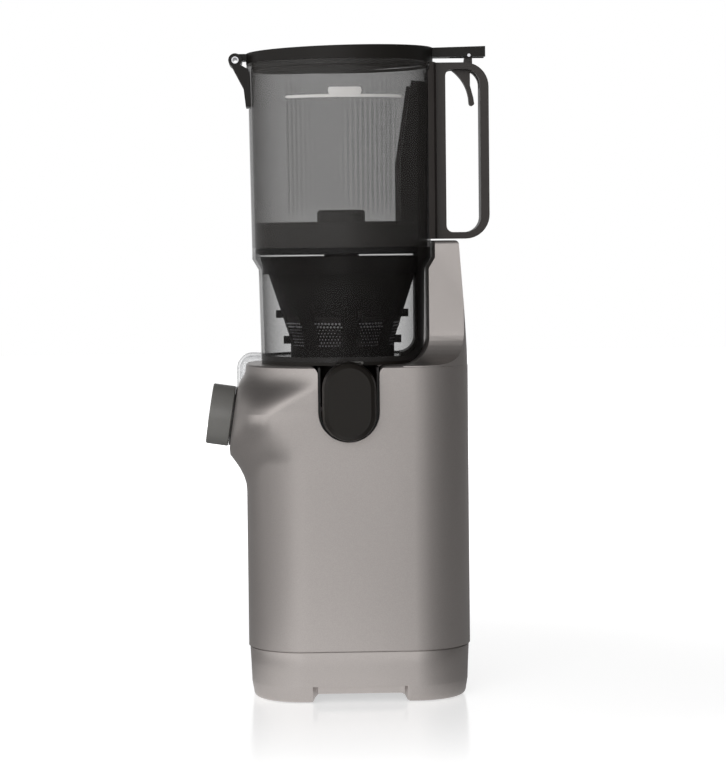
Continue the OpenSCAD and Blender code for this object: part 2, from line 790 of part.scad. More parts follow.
module cluster_gear() {
    on_drive() color([0.85, 0.83, 0.76])
    translate([cluster_x, 0, fast_z]) difference() {
        union() {
            rotate(180) gear(wheel_teeth, fast_module, fast_face);
            translate([0, 0, fast_face - EPS]) cylinder(r = slow_module * (pinion_teeth / 2 - 1.2), h = 2.5 + 2 * EPS);
            translate([0, 0, fast_face + 2.5])
                rotate(180 + 180 / pinion_teeth) gear(pinion_teeth, slow_module, slow_face);
        }
        translate([0, 0, -1]) cylinder(r = 3 + fit, h = far);
        for (i = [0:5]) rotate(60 * i) translate([fast_module * wheel_teeth / 3, 0, -1]) cylinder(r = 4.5, h = fast_face + 2);
    }
}

module output_gear() {
    on_drive() color([0.85, 0.83, 0.76])
    translate([0, 0, slow_z]) difference() {
        gear(wheel_teeth, slow_module, slow_face);
        translate([0, 0, -1]) cylinder(d = drive_d + 4, h = far, $fn = 6);
        translate([0, 0, 4]) tube(slow_module * wheel_teeth / 2 - 5, drive_d / 2 + 6, slow_face);
        for (i = [0:5]) rotate(60 * i + 30) translate([26, 0, -1]) cylinder(r = 6, h = 8);
    }
}

module drive_shaft() {
    on_drive() color([0.8, 0.8, 0.82])
    difference() {
        union() {
            translate([0, 0, case_z + seat]) cylinder(d = 10, h = slow_z - case_z);
            translate([0, 0, slow_z]) cylinder(d = drive_d + 4 - 2 * fit, h = slow_face, $fn = 6);
            translate([0, 0, slow_z + slow_face - EPS]) cylinder(d = drive_d, h = hex_z - slow_z - slow_face);
            translate([0, 0, hex_z - 1]) cylinder(d = drive_d, h = shaft_top - hex_z - 1, $fn = 6);
            translate([0, 0, shaft_top - 2 - EPS]) cylinder(d1 = drive_d, d2 = drive_d - 4, h = 2, $fn = 6);
        }
    }
}

module drive_bearings() {
    on_drive() color([0.75, 0.75, 0.77])
    {
        translate([0, 0, case_z]) tube(7 - fit, 5 + fit, case_t);
        translate([0, 0, case_top + 3]) tube(drive_d / 2 + 6, drive_d / 2 + fit, bearing_w);
    }
}

module drive_seal() {
    on_drive() color([0.12, 0.12, 0.12])
    translate([0, 0, z_seam + seat]) difference() {
        union() {
            cylinder(d = drive_d + 9 - 2 * fit, h = well_z - z_seam + 1);
            translate([0, 0, well_z - z_seam]) cylinder(d = drive_d + 14, h = 1.2);
        }
        translate([0, 0, -1]) cylinder(d = drive_d + 2 * fit, h = 20);
    }
}

module control_board() {
    on_drive() color([0.10, 0.30, 0.20])
    {
        translate([-body_front + wall + 10, -32, foot_h + wall + 14]) cube([1.6, 64, 70]);
        // the brackets that stand the board on the bottom plate
        for (y = [-28, 22]) translate([-body_front + wall + 11.6, y, foot_h + wall]) cube([6, 6, 40]);
    }
}

module interlock_switch() {
    on_drive() color([0.12, 0.12, 0.13])
    translate([scoop_x + scoop_r + column_gap + 10, -10, z_column - wall - 5 - 16]) cube([8, 20, 16 - seat]);
}

// ---------------------------------------------------------------- control knob

module control_knob() {
    r = knob_d / 2;
    on_drive() color([0.42, 0.41, 0.40])
    on_knob_axis() translate([0, 0, knob_gap]) difference() {
        rotate_extrude() polygon(concat(
            [[0, 0], [r - 0.5, 0], [r, 0.6], [r, knob_len - 1.2]],
            arc(r - 1.2, knob_len - 1.2, 1.2, 0, 90, 5),
            [[r - 3.2, knob_len], [r - 3.8, knob_len - 0.7], [0, knob_len - 0.9]]
        ));
        translate([0, 0, -EPS]) tube(r - 2.2, spindle_d / 2 + 3, knob_len - 4);
        translate([0, 0, -EPS]) cylinder(d = spindle_d - 1 + 2 * fit, h = 12);
        // the pointer groove on the face
        translate([4, -0.9, knob_len - 1.5]) cube([r - 8.5, 1.8, 3]);
    }
}

module switch_spindle() {
    on_drive() color([0.75, 0.75, 0.77])
    on_knob_axis() {
        translate([0, 0, -nose_reach - 17 + slip]) cylinder(d = spindle_d, h = nose_reach + 17 - 2 * slip + knob_gap);
        translate([0, 0, knob_gap - slip - EPS]) cylinder(d = spindle_d - 1, h = 12);
    }
}

// ---------------------------------------------------------------- bowl

// Side view of the bowl: its back comes up in a scoop to clear the column's foot.
module scoop_view(inset) {
    polygon(concat(
        [[-far / 2, z_deck - 1 + inset]],
        inset > 0 ? [[-far / 2, z_floor + inset]] : [[-far / 2, z_deck + seat]],
        [[scoop_x, inset > 0 ? z_floor + inset : z_deck + seat]],
        arc(scoop_x, scoop_z, scoop_r - inset, inset > 0 ? -60 : -90, 0),
        [[scoop_x + scoop_r - inset, z_collar - 2], [far / 2, z_collar + 4], [far / 2, far * 2], [-far / 2, far * 2]]
    ));
}

module bowl_solid(inset) {
    intersection() {
        rotate_extrude() polygon([
            [0, z_floor + inset], [bowl_r - inset, z_floor + inset], [bowl_top_r - inset, z_collar],
            [collar_r - inset, z_collar + 8], [collar_r - inset, z_split + inset * 2], [0, z_split + inset * 2]
        ]);
        along_y(far) scoop_view(inset);
    }
}

// Where pulp drops out of the strainer into the chute.
module pulp_passage() {
    translate([chute_x - chute_bore + 2, -hub_d / 2 - 2, z_deck - hub_h + 3])
        cube([2 * chute_bore - 4, hub_d / 2 - 16, hub_h - 6]);
    translate([chute_x - chute_bore + 2, -36, z_deck - hub_h + 3]) cube([2 * chute_bore - 4, 18, far]);
}

// Where juice drops from the bowl's floor into the spout.
module juice_drop() {
    on_spout() translate([hub_d / 2 + 5, -5, spout_z]) cube([11, 10, spout_r + 6]);
}

module bowl() {
    on_drive() color([0.35, 0.35, 0.35, 0.45])
    difference() {
        bowl_solid(0);
        bowl_solid(clear_wall);
        juice_drop();
        pulp_passage();
        translate([0, 0, z_floor - 1]) cylinder(d = drive_d + 12, h = 6);
    }
}

// Dark stiffening rib inside the bowl's back, from its floor up to the strainer's rim.
module back_rib() {
    deep = 7.6;
    top = z_strainer_top - 2.5 - slip;
    on_drive() color([0.06, 0.055, 0.05])
    difference() {
        intersection() {
            bowl_solid(clear_wall + fit);
            along_y(rib_w) difference() {
                translate([scoop_x + 1, z_deck]) square([far, top - z_deck]);
                translate([scoop_x, scoop_z]) circle(scoop_r - deep);
                translate([scoop_x - 1, scoop_z]) square([scoop_r - deep + 1, far]);
            }
        }
        // room for the strainer's cone
        rotate_extrude() polygon([[0, z_strainer - 1], [foot_r + 2 * slip, z_strainer - 1], [foot_r + 2 * slip, z_knee],
            [strainer_r + 2 * slip, z_strainer_top], [0, z_strainer_top]]);
    }
}

// Tube that lies in its channel under the bowl's floor and turns down into a nozzle.
module juice_spout() {
    start = hub_d / 2 + 1;
    on_drive() color([0.75, 0.75, 0.76, 0.5])
    difference() {
        union() {
            on_spout() translate([start, 0, spout_z]) rotate([0, 90, 0]) cylinder(r = spout_r, h = spout_reach - start);
            on_spout() translate([spout_reach, 0, nozzle_z]) cylinder(r = spout_r, h = spout_z - nozzle_z);
            on_spout() translate([spout_reach, 0, spout_z]) sphere(r = spout_r);
            on_nozzle() for (s = [-1, 1]) {
                translate([spout_r - 2, s * 6.5 - 1.5, cap_pin_z - 3]) cube([cap_pin_x - spout_r + 2, 3, 6]);
                translate([cap_pin_x, s * 6.5 + 1.5, cap_pin_z]) rotate([90, 0, 0]) cylinder(r = 3, h = 3, $fn = 48);
            }
        }
        on_spout() {
            translate([start + 2, 0, spout_z]) rotate([0, 90, 0])
                cylinder(r = spout_r - clear_wall, h = spout_reach - start - 2);
            translate([spout_reach, 0, nozzle_z - 1]) cylinder(r = spout_r - clear_wall, h = spout_z - nozzle_z + 1);
            translate([spout_reach, 0, spout_z]) sphere(r = spout_r - clear_wall);
        }
        on_nozzle() translate([cap_pin_x, -9, cap_pin_z]) rotate([-90, 0, 0]) cylinder(r = 1, h = 18, $fn = 24);
        translate([0, 0, z_floor - seat]) cylinder(r = bowl_r + seat, h = far);
    }
}

module bowl_base() {
    on_drive() color([0.08, 0.075, 0.07])
    difference() {
        union() {
            intersection() {
                translate([0, 0, z_deck + seat]) cylinder(r = bowl_r - 0.2, h = z_floor - z_deck - seat);
                along_y(far) scoop_view(0);
            }
            translate([0, 0, z_deck - hub_h]) cylinder(d = hub_d, h = hub_h + seat + EPS);
        }
        translate([0, 0, z_deck - hub_h - 1]) cylinder(d = drive_d + 12, h = far);
        pulp_passage();
        on_spout() {
            translate([hub_d / 2 + 0.8, 0, spout_z]) rotate([0, 90, 0]) cylinder(r = spout_r + 0.2, h = 60);
            translate([hub_d / 2 + 0.8, -spout_r - 0.2, spout_z]) cube([60, spout_d + 0.4, 40]);
        }
    }
}

// Soft ring that keeps the drive shaft's hole dry, with a raised lip.
module bowl_gasket() {
    on_drive() color([0.25, 0.25, 0.25])
    translate([0, 0, z_deck - hub_h + 2]) difference() {
        union() {
            cylinder(d = drive_d + 12 - 2 * fit, h = z_floor + clear_wall - z_deck + hub_h - 2);
            translate([0, 0, z_floor + clear_wall - z_deck + hub_h - 2 - EPS]) cylinder(d = drive_d + 10, h = 3);
        }
        translate([0, 0, -1]) cylinder(d = drive_d + 3, h = far);
    }
}

// One station of the chute: an upright stadium in the XZ plane.
module chute_station(y, r, grow = 0) {
    along_y(0.4, y) hull() {
        translate([chute_x, chute_z0 + chute_in_r - chute_r + 5 - grow * 5]) circle(r, $fn = HULL_FN);
        translate([chute_x, chute_z1]) circle(r, $fn = HULL_FN);
    }
}

module chute_body() {
    y1 = -half_y + 3;
    steps = [[-hub_d / 2 + 6, chute_in_r, 0], [y1, chute_in_r, 0], [y1 - 6.5, chute_r, 1],
        [chute_y + 6, chute_r, 1], [chute_y + 2, chute_r - 1.3, 1], [chute_y + 0.2, chute_r - 4, 1]];
    for (i = [0:len(steps) - 2])
        hull() {
            for (s = [steps[i], steps[i + 1]])
                translate([0, s[0], 0]) rotate([90, 0, 0]) linear_extrude(0.2, center = true)
                    union() {
                        translate([chute_x, s[2] > 0 ? chute_z0 : chute_z0 + 3]) circle(s[1], $fn = HULL_FN);
                        translate([chute_x, chute_z1 - (s[2] > 0 ? 0 : 2)]) circle(s[1], $fn = HULL_FN);
                    }
        }
}

module pulp_chute() {
    inner_z0 = chute_z0 + 3;
    on_drive() color([0.075, 0.07, 0.065])
    difference() {
        union() {
            chute_body();
            // the neck that hooks over the bowl's floor
            translate([chute_x - 9, -half_y - chute_out + 5, z_deck - 4]) cube([18, chute_out - 3, 7]);
        }
        translate([0, 0, 0]) cylinder(r = hub_d / 2 + seat, h = far);
        // the bore, open towards the hub and below the shield
        along_y(-chute_y - 4, chute_y / 2 + 1) {
            translate([chute_x, inner_z0]) circle(chute_bore);
            translate([chute_x, chute_z1 - 2]) circle(chute_bore);
            translate([chute_x - chute_bore, inner_z0]) square([2 * chute_bore, chute_z1 - 2 - inner_z0]);
        }
        translate([chute_x - 12, chute_y + 4, chute_low - 10]) cube([24, chute_out - 6, chute_r + 8]);
    }
}

// Soft plug that holds the pulp back where it leaves the hub.
module pulp_plug() {
    on_drive() color([0.3, 0.3, 0.3])
    translate([chute_x - chute_bore + 2 + slip, -hub_d / 2 + 6, z_deck - hub_h + 3 + slip])
        difference() {
            cube([2 * chute_bore - 4 - 2 * slip, 4, 9]);
            translate([3, -1, 2]) cube([2 * chute_bore - 10 - 2 * slip, 3, 9]);
        }
}

module collar_seal() {
    on_drive() color([0.10, 0.10, 0.10])
    translate([0, 0, z_split - 4]) tube(collar_r - clear_wall - fit, collar_r - clear_wall - seal_w, 4 - seat);
}

module cap_pin() {
    on_drive() color([0.78, 0.78, 0.8])
    on_nozzle() translate([cap_pin_x, -8, cap_pin_z]) rotate([-90, 0, 0]) cylinder(r = 1, h = 16, $fn = 24);
}

// Cap under the nozzle, hinged at its outer side, with a thumb tab.
module juice_cap() {
    w = 9.2;
    lift = cap_pin_z - nozzle_z;
    on_drive() color([0.85, 0.85, 0.86, 0.7])
    on_nozzle() difference() {
        union() {
            translate([0, 0, nozzle_z - 2.6]) cylinder(r = spout_r + 1, h = 2.2);
            translate([spout_r - 1, -w / 2, nozzle_z - 2.6]) cube([cap_pin_x - spout_r + 2.2, w, 2.2]);
            translate([cap_pin_x - 1.2, -w / 2, nozzle_z - 2.6]) cube([2.4, w, lift + 2.6]);
            translate([cap_pin_x, -w / 2, cap_pin_z]) rotate([-90, 0, 0]) cylinder(r = 2.4, h = w, $fn = 48);
            translate([cap_pin_x, -w / 2, cap_pin_z + 0.6]) cube([3.6, w, 1.8]);
        }
        translate([cap_pin_x, -w, cap_pin_z]) rotate([-90, 0, 0]) cylinder(r = 1 + fit, h = 2 * w, $fn = 24);
    }
}

module cap_seal() {
    on_drive() color([0.9, 0.9, 0.9])
    on_nozzle() translate([0, 0, nozzle_z - 0.4]) cylinder(r = spout_r - clear_wall - 1.3, h = 2);
}

// ---------------------------------------------------------------- strainer and auger

strainer_r = strainer_d / 2;
foot_r = strainer_foot_d / 2;
z_knee = z_strainer + strainer_foot_h;
window_z0 = z_knee - 4;
window_z1 = z_knee + 18;

// Where the auger's flights run.
flight_z0 = z_strainer + 6;
flight_z1 = z_strainer_top - 3;
function flight_tip(z) = strainer_at(z) - strainer_wall - 3.4
    - 9 * ease(1.6 * (z - flight_z0) / (flight_z1 - flight_z0) - 0.6);

// Radius of the strainer's outside at a height.
function strainer_at(z) = z < z_knee ? foot_r
    : foot_r + (strainer_r - foot_r) * (z - z_knee) / (z_strainer_top - z_knee);

module strainer_shell(outer, inner) {
    difference() {
        rotate_extrude() polygon([[0, z_strainer], [foot_r - outer, z_strainer], [foot_r - outer, z_knee],
            [strainer_r - outer, z_strainer_top], [0, z_strainer_top]]);
        rotate_extrude() polygon([[0, z_strainer + 2], [foot_r - inner, z_strainer + 2], [foot_r - inner, z_knee],
            [strainer_r - inner, z_strainer_top + EPS], [0, z_strainer_top + EPS]]);
    }
}

module window_wedge(z0, z1, share) {
    for (i = [0:windows - 1])
        rotate(7 - 90 + 360 / windows * (i + 0.5))
            translate([0, 0, z0]) linear_extrude(z1 - z0)
                polygon([[15, 0], [far, -far * tan(180 / windows * share)], [far, far * tan(180 / windows * share)]]);
}

module strainer_frame() {
    press_w = 2;
    rib_step = (z_strainer_top - 4 - z_knee - 22) / 6;
    on_drive() color([0.10, 0.095, 0.09, 0.9])
    difference() {
        union() {
            strainer_shell(0, strainer_wall);
            // rim that hangs in the bowl's collar
            translate([0, 0, z_strainer_top - 2.5])
                tube(bowl_top_r - clear_wall - 1.1, strainer_r - strainer_wall - 1, 2.5);
            // spacing lugs between the strainer and the bowl
            for (a = [0, 75, 180, 285], z = [z_knee - 2.5, z_knee + 17])
                rotate(a) translate([strainer_at(z) - 1, -2.5, z]) cube([6.4, 5, 5.8]);
            // pressing ribs inside
            for (a = [0:45:315])
                rotate(a + 15) rotate([90, 0, 0]) linear_extrude(press_w, center = true) polygon(concat(
                    [for (i = [0:6]) let (z = z_knee + 22 + i * rib_step) [flight_tip(z) + 1.2, z]],
                    [for (i = [6:-6:0]) let (z = z_knee + 22 + i * rib_step) [strainer_at(z) - 1, z]]));
        }
        window_wedge(window_z0, window_z1, 0.82);
        pulp_passage();
        translate([0, 0, z_strainer - 1]) cylinder(d = drive_d + 13, h = 10);
    }
}

// Perforated panels that fill the windows.
module strainer_mesh() {
    columns = 5;
    rows = 4;
    on_drive() color([0.55, 0.55, 0.56])
    difference() {
        intersection() {
            strainer_shell(0.5, strainer_wall - 0.5);
            window_wedge(window_z0 + fit, window_z1 - fit, 0.81);
        }
        for (i = [0:windows - 1], c = [0:columns - 1], r = [0:rows - 1])
            rotate(7 - 90 + 360 / windows * (i + 0.5) + (c - columns / 2 + 0.5 + (r % 2) * 0.5 - 0.25) * 360 / windows * 0.74 / columns)
                translate([foot_r - 10, 0, window_z0 + 7 + r * 3.2]) rotate([0, 90, 0])
                    cylinder(d = hole_d, h = 30, $fn = 16);
    }
}

// One helical flight, as stations of four points along the screw.
module flight(turn) {
    n = 44;
    function core(z) = 20 - 5.5 * (z - flight_z0) / (flight_z1 - flight_z0);
    pts = [for (i = [0:n])
        let (
            t = i / n,
            z = flight_z0 + (flight_z1 - flight_z0) * t,
            a = turn + 360 * flight_turns * t,
            tip = flight_tip(z),
            w = 3.4 - 1.4 * t
        )
        each [
            [(core(z) - 3) * cos(a), (core(z) - 3) * sin(a), z - w],
            [tip * cos(a), tip * sin(a), z - w / 2],
            [tip * cos(a), tip * sin(a), z + w / 2],
            [(core(z) - 3) * cos(a), (core(z) - 3) * sin(a), z + w]
        ]];
    sides = [for (i = [0:n - 1]) for (k = [0:3])
        let (a = 4 * i + k, b = 4 * i + (k + 1) % 4)
        each [[a, b, b + 4], [a, b + 4, a + 4]]];
    polyhedron(points = pts, faces = concat([[3, 2, 1], [3, 1, 0]], sides,
        [[4 * n, 4 * n + 1, 4 * n + 2], [4 * n, 4 * n + 2, 4 * n + 3]]), convexity = 8);
}

module auger() {
    z0 = z_strainer + 3.4;
    on_drive() color([0.11, 0.105, 0.10])
    difference() {
        union() {
            rotate_extrude() polygon([[0, z0 - 0.4], [17, z0 - 0.4], [20, z0 + 2], [15, z_strainer_top], [neck_d / 2, z_strainer_top + 6],
                [neck_d / 2, z_split + 1], [0, z_split + 1]]);
            for (a = [0, 180]) flight(a);
        }
        // hexagonal socket for the drive shaft
        translate([0, 0, z0 - 2]) cylinder(d = drive_d + 0.3, h = shaft_top - z0 + 3, $fn = 6);
        translate([0, 0, z0 - 2]) cylinder(d = drive_d + 13, h = 3.2);
    }
}

// Neck and head that stand up into the hopper, with a low feeding blade.
module auger_head() {
    r = head_d / 2;
    blade_r = throat_r - 3;
    on_drive() color([0.07, 0.065, 0.06])
    translate([0, 0, z_split + 1 + seat]) {
        rotate_extrude() polygon([[0, 0], [neck_d / 2, 0], [neck_d / 2, z_head - z_split - 1], [r, z_head - z_split - 1],
            [r, z_head - z_split - 1 + head_h - 1.5], [r - 1.5, z_head - z_split - 1 + head_h],
            [0, z_head - z_split - 1 + head_h]]);
        for (a = [20, 200]) rotate(a) intersection() {
            translate([neck_d / 2 - 3, -2, 2]) rotate([18, 0, 0]) cube([blade_r - neck_d / 2 + 3, 3, 9]);
            cylinder(r = blade_r, h = 30);
        }
    }
}

// ---------------------------------------------------------------- hopper

module hopper() {
    foot = hopper_d / 2;
    rib_z = z_split + funnel_h + 4;
    on_drive() color([0.38, 0.38, 0.38, 0.5])
    {
        difference() {
            rotate_extrude() polygon([
                [foot - clear_wall, z_split + seat], [foot, z_split + seat], [rim_r, z_rim - 5], [rim_r + 1, z_rim - 4],
                [rim_r + 1, z_rim], [rim_r - clear_wall, z_rim], [rim_r - clear_wall, z_rim - 5],
                [foot - clear_wall, z_split + funnel_h]
            ]);
        }
        // flutes on the inside, facing either outlet
        for (side = [-90, 90], i = [0:hopper_ribs - 1])
            rotate(side + (i - (hopper_ribs - 1) / 2) * 5.6 + (side > 0 ? 2 : 0))
                translate([0, 0, rib_z]) rotate([90, 0, 0]) linear_extrude(1.4, center = true) polygon([
                        [foot - clear_wall - 0.9, 0], [foot - clear_wall + 1, 0],
                        [rim_r - clear_wall + 0.8, z_rim - 14 - rib_z], [rim_r - clear_wall - 0.9, z_rim - 14 - rib_z]]);
    }
}

// Funnel in the hopper's foot that leads to the auger.
module feed_funnel() {
    r = hopper_d / 2 - clear_wall - fit;
    spigot = collar_r - clear_wall - seal_w - slip;
    t = 2.2;
    top = z_split + funnel_h;
    on_drive() color([0.12, 0.115, 0.11, 0.75])
    rotate_extrude() polygon([
        [throat_r, z_split - 2.6], [throat_r + t, z_split - 2.6], [throat_r + t + 1.6, top - 2.8 - t],
        [spigot - t, top - t], [spigot - t, z_split - 5], [spigot, z_split - 5],
        [spigot, z_split + seat], [r, z_split + seat], [r, top], [r - 2, top], [throat_r + 5, top - 1.6],
        [throat_r + 2.2, top - 3.2], [throat_r, z_split + 4]
    ]);
}

// Curved guide on the hopper's back wall, slanting back towards the rim.
module feed_guide() {
    z0 = z_split + funnel_h + seat;
    z1 = z_rim - 15;
    low = hopper_d / 2 - clear_wall - slip;
    high = rim_r - clear_wall - slip - hopper_taper / 2 * 10 / (hopper_h - funnel_h);
    t = 1.8;
    on_drive() color([0.09, 0.085, 0.08, 0.9])
    intersection() {
        rotate_extrude() polygon([[low - t, z0], [low, z0], [high, z1], [high - t, z1]]);
        along_y(far) polygon([[guide_x, z0 - 1], [guide_x, z_rim - 75], [guide_x + 9, z1 + 1], [far, z1 + 1],
            [far, z0 - 1]]);
    }
}

// Outline of the grip: a D-shaped loop with its plate.
module grip_outline() {
    x0 = plate_x;
    r = grip_r;
    ri = max(grip_r - grip_t, 3);
    difference() {
        union() {
            polygon(concat(
                [[x0, grip_z0], [x0, grip_z1]],
                arc(grip_x1 - r, grip_z1 - r, r, 90, 0),
                arc(grip_x1 - r, grip_z0 + r, r, 0, -90)
            ));
        }
        polygon(concat(
            arc(x0 + plate_t + 5, grip_z1 - bar_t - 5, 5, 180, 90, 6),
            arc(grip_x0 - ri, grip_z1 - bar_t - ri, ri, 90, 0),
            arc(grip_x0 - ri, grip_z0 + bar_t + ri, ri, 0, -90),
            arc(x0 + plate_t + 5, grip_z0 + bar_t + 5, 5, 270, 180, 6)
        ));
    }
}

module handle() {
    on_drive() color([0.24, 0.235, 0.23])
    difference() {
        union() {
            along_y(handle_w) grip_outline();
            // saddle that follows the hopper's wall
            intersection() {
                translate([0, 0, grip_z0]) tube(rim_r + 4, rim_r + 0.3, grip_z1 - grip_z0);
                translate([0, -handle_w, grip_z0]) cube([far, 2 * handle_w, far]);
                translate([rim_r - 10, 0, grip_z0 - 1]) cylinder(r = handle_w, h = far);
            }
        }
        translate([0, 0, grip_z0 - 1]) cylinder(r1 = hopper_d / 2 + 0.3, r2 = rim_r + 0.3, h = grip_z1 - grip_z0 + 2);
        translate([0, 0, z_rim - 6]) cylinder(r = rim_r + 1 + slip, h = 20);
        // slot for the trigger
        translate([slot_x0, -slot_w / 2, grip_z1 - grip_r - 1]) cube([slot_x1 - slot_x0, slot_w, grip_r + 10]);
        for (z = [grip_z0 + 22, grip_z1 - 34]) translate([0, 0, z]) rotate([0, 90, 0])
            cylinder(d = 3.4, h = plate_x + plate_t - 3, $fn = 24);
    }
}

module handle_screws() {
    on_drive() color([0.7, 0.7, 0.72])
    for (z = [grip_z0 + 22, grip_z1 - 34])
        translate([rim_r + 0.6, 0, z]) rotate([0, 90, 0]) cylinder(d = 3, h = plate_t - 4.4, $fn = 24);
}

module hinge_bracket() {
    ears = knuckle_w / 2 + 0.3;
    on_drive() color([0.09, 0.085, 0.08])
    difference() {
        union() {
            for (s = [-1, 1]) translate([hinge_x, s > 0 ? ears + ear_w : -ears, hinge_z]) rotate([90, 0, 0])
                cylinder(r = barrel_r, h = ear_w);
            // fins that run down the hopper's wall
            for (s = [-1, 1]) along_y(ear_w, s * (ears + ear_w / 2)) polygon([
                [hinge_x - barrel_r * 0.5, hinge_z - barrel_r * 0.85], [hinge_x + 2, hinge_z - barrel_r * 0.5],
                [-rim_r + 3, z_rim - 5.5], [-rim_r + 3, z_rim - 32], [-rim_r - 1.6, z_rim - 32], [-rim_r - 3.2, z_rim - 18]]);
            along_y(2 * ears + 2, 0) polygon([
                [-rim_r - 3, z_rim - 12], [-rim_r + 3, z_rim - 8], [-rim_r + 3, z_rim - 32], [-rim_r - 1.6, z_rim - 32]]);
        }
        translate([0, 0, z_rim - 40]) cylinder(r1 = rim_r - hopper_taper / 4 + 0.4, r2 = rim_r + 0.4, h = 36);
        translate([0, 0, z_rim - 6]) cylinder(r = rim_r + 1 + slip, h = 30);
        translate([hinge_x, far / 2, hinge_z]) rotate([90, 0, 0]) cylinder(r = pin_r, h = far);
    }
}

module hinge_pin() {
    w = knuckle_w + 2 * ear_w + 0.6;
    on_drive() color([0.7, 0.7, 0.72])
    translate([hinge_x, w / 2, hinge_z]) rotate([90, 0, 0]) tube(pin_r, pin_r - 0.7, w);
}

// ---------------------------------------------------------------- lid

module above(z0, slope, x0) {
    translate([x0, 0, z0]) rotate([0, -slope, 0]) translate([-far, -far, 0]) cube([2 * far, 2 * far, far]);
}

module hopper_lid() {
    tab_w = handle_w - 4;
    top = hinge_z + barrel_r;
    on_drive() color([0.10, 0.095, 0.09, 0.9])
    difference() {
        union() {
            translate([0, 0, lid_z]) cylinder(r = lid_r, h = 20);
            // the plug's wall inside the hopper
            difference() {
                translate([0, 0, z_rim - 30]) tube(plug_r, plug_r - 2.4, 32);
                mirror([0, 0, 1]) above(-z_rim + plug_h, -plug_slope, -rim_r);
            }
            // knuckle and its arm
            translate([hinge_x, knuckle_w / 2, hinge_z]) rotate([90, 0, 0]) cylinder(r = barrel_r, h = knuckle_w);
            translate([hinge_x, -knuckle_w / 2, hinge_z]) cube([14, knuckle_w, barrel_r]);
            // tab over the handle
            translate([0, -tab_w / 2, lid_z + 4]) cube([tab_end, tab_w, 20]);
        }
        above(top, lid_slope, hinge_x);
        // hollow under the top
        difference() {
            translate([0, 0, lid_z - 1]) cylinder(r = plug_r - 2.4, h = 5.2);
        }
        // pocket for the trigger
        translate([slot_x0 + 1, -slot_w / 2, lid_z - 1]) cube([slot_x1 - slot_x0 + 1.4, slot_w, 9.2]);
        translate([trigger_x, -far / 2, trigger_z]) rotate([-90, 0, 0]) cylinder(r = trigger_pin_r, h = far, $fn = 48);
        translate([hinge_x, far / 2, hinge_z]) rotate([90, 0, 0]) cylinder(r = pin_r + fit, h = far);
    }
}

module lid_seal() {
    on_drive() color([0.14, 0.14, 0.14])
    translate([0, 0, z_rim - 3]) tube(plug_r + 0.9, plug_r + fit, 2.2);
}

module trigger_pin() {
    on_drive() color([0.75, 0.75, 0.77])
    translate([trigger_x, -handle_w / 2 + 2, trigger_z]) rotate([-90, 0, 0])
        cylinder(r = trigger_pin_r, h = handle_w - 4, $fn = 48);
}

// Finger trigger that hangs through the handle's slot, hollowed for the finger on its front.
module lid_trigger() {
    root_z = grip_z1 - bar_t;
    tip_x = grip_x0 - 5.8;
    tip_z = root_z - 27;
    on_drive() color([0.16, 0.155, 0.15])
    difference() {
        along_y(trigger_w) union() {
            translate([trigger_x, trigger_z]) circle(2.7);
            polygon(concat(
                [[trigger_x - 2.7, trigger_z], [trigger_x - 4.2, root_z + 1], [slot_x0 + 3.4, root_z]],
                arc(tip_x - 33, tip_z + 1.5, 31, 54, 2, 9),
                arc(tip_x, tip_z + 2, 2, 200, 340, 5),
                [[tip_x + 1.2, tip_z + 6], [tip_x - 1.2, tip_z + 15], [tip_x - 1.2, root_z - 3],
                    [tip_x + 0.6, root_z], [trigger_x + 2.7, trigger_z]]
            ));
        }
        translate([trigger_x, -far / 2, trigger_z]) rotate([-90, 0, 0])
            cylinder(r = trigger_pin_r + fit, h = far, $fn = 48);
    }
}

// ---------------------------------------------------------------- the pieces

lower_housing();
upper_housing();
base_skirt();
bottom_plate();
foot_pads();
bottom_screws();
chute_liner();
knob_bezel();
switch_body();
cord_gland();
motor_can();
motor_bearings();
gearbox_case();
gearbox_cover();
gearbox_screws();
cluster_axle();
drive_bearings();
drive_seal();
control_board();
interlock_switch();
control_knob();
switch_spindle();
rotor_core();
rotor_shaft();
cooling_fan();
cluster_gear();
output_gear();
drive_shaft();
bowl();
back_rib();
juice_spout();
bowl_base();
bowl_gasket();
pulp_chute();
pulp_plug();
strainer_frame();
strainer_mesh();
collar_seal();
cap_pin();
juice_cap();
cap_seal();
auger();
auger_head();
hopper();
feed_funnel();
feed_guide();
handle();
handle_screws();
hinge_bracket();
hinge_pin();
hopper_lid();
lid_seal();
trigger_pin();
lid_trigger();
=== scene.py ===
import bpy
import math
import numpy as np
from mathutils import Euler, Matrix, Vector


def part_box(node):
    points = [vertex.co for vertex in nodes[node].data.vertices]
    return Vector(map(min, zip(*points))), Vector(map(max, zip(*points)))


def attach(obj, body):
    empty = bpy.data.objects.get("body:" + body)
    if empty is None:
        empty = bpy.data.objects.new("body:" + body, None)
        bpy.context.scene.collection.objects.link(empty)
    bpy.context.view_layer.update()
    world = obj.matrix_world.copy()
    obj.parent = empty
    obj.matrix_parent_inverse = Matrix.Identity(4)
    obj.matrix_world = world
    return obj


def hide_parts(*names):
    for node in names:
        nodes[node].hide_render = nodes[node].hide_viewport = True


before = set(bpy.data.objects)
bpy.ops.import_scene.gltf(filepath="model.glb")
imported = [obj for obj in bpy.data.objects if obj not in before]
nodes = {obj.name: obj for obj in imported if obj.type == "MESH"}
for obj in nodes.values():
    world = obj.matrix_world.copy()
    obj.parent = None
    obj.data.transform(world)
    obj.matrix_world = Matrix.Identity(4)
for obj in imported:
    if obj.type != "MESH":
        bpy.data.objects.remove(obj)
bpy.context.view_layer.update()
scene = bpy.context.scene
scene.view_settings.view_transform = "Standard"
mm = 0.001
driveX = -3.8 * mm  # the axis that bowl, hopper and auger stand on
print("frame:", len(nodes), "solids")


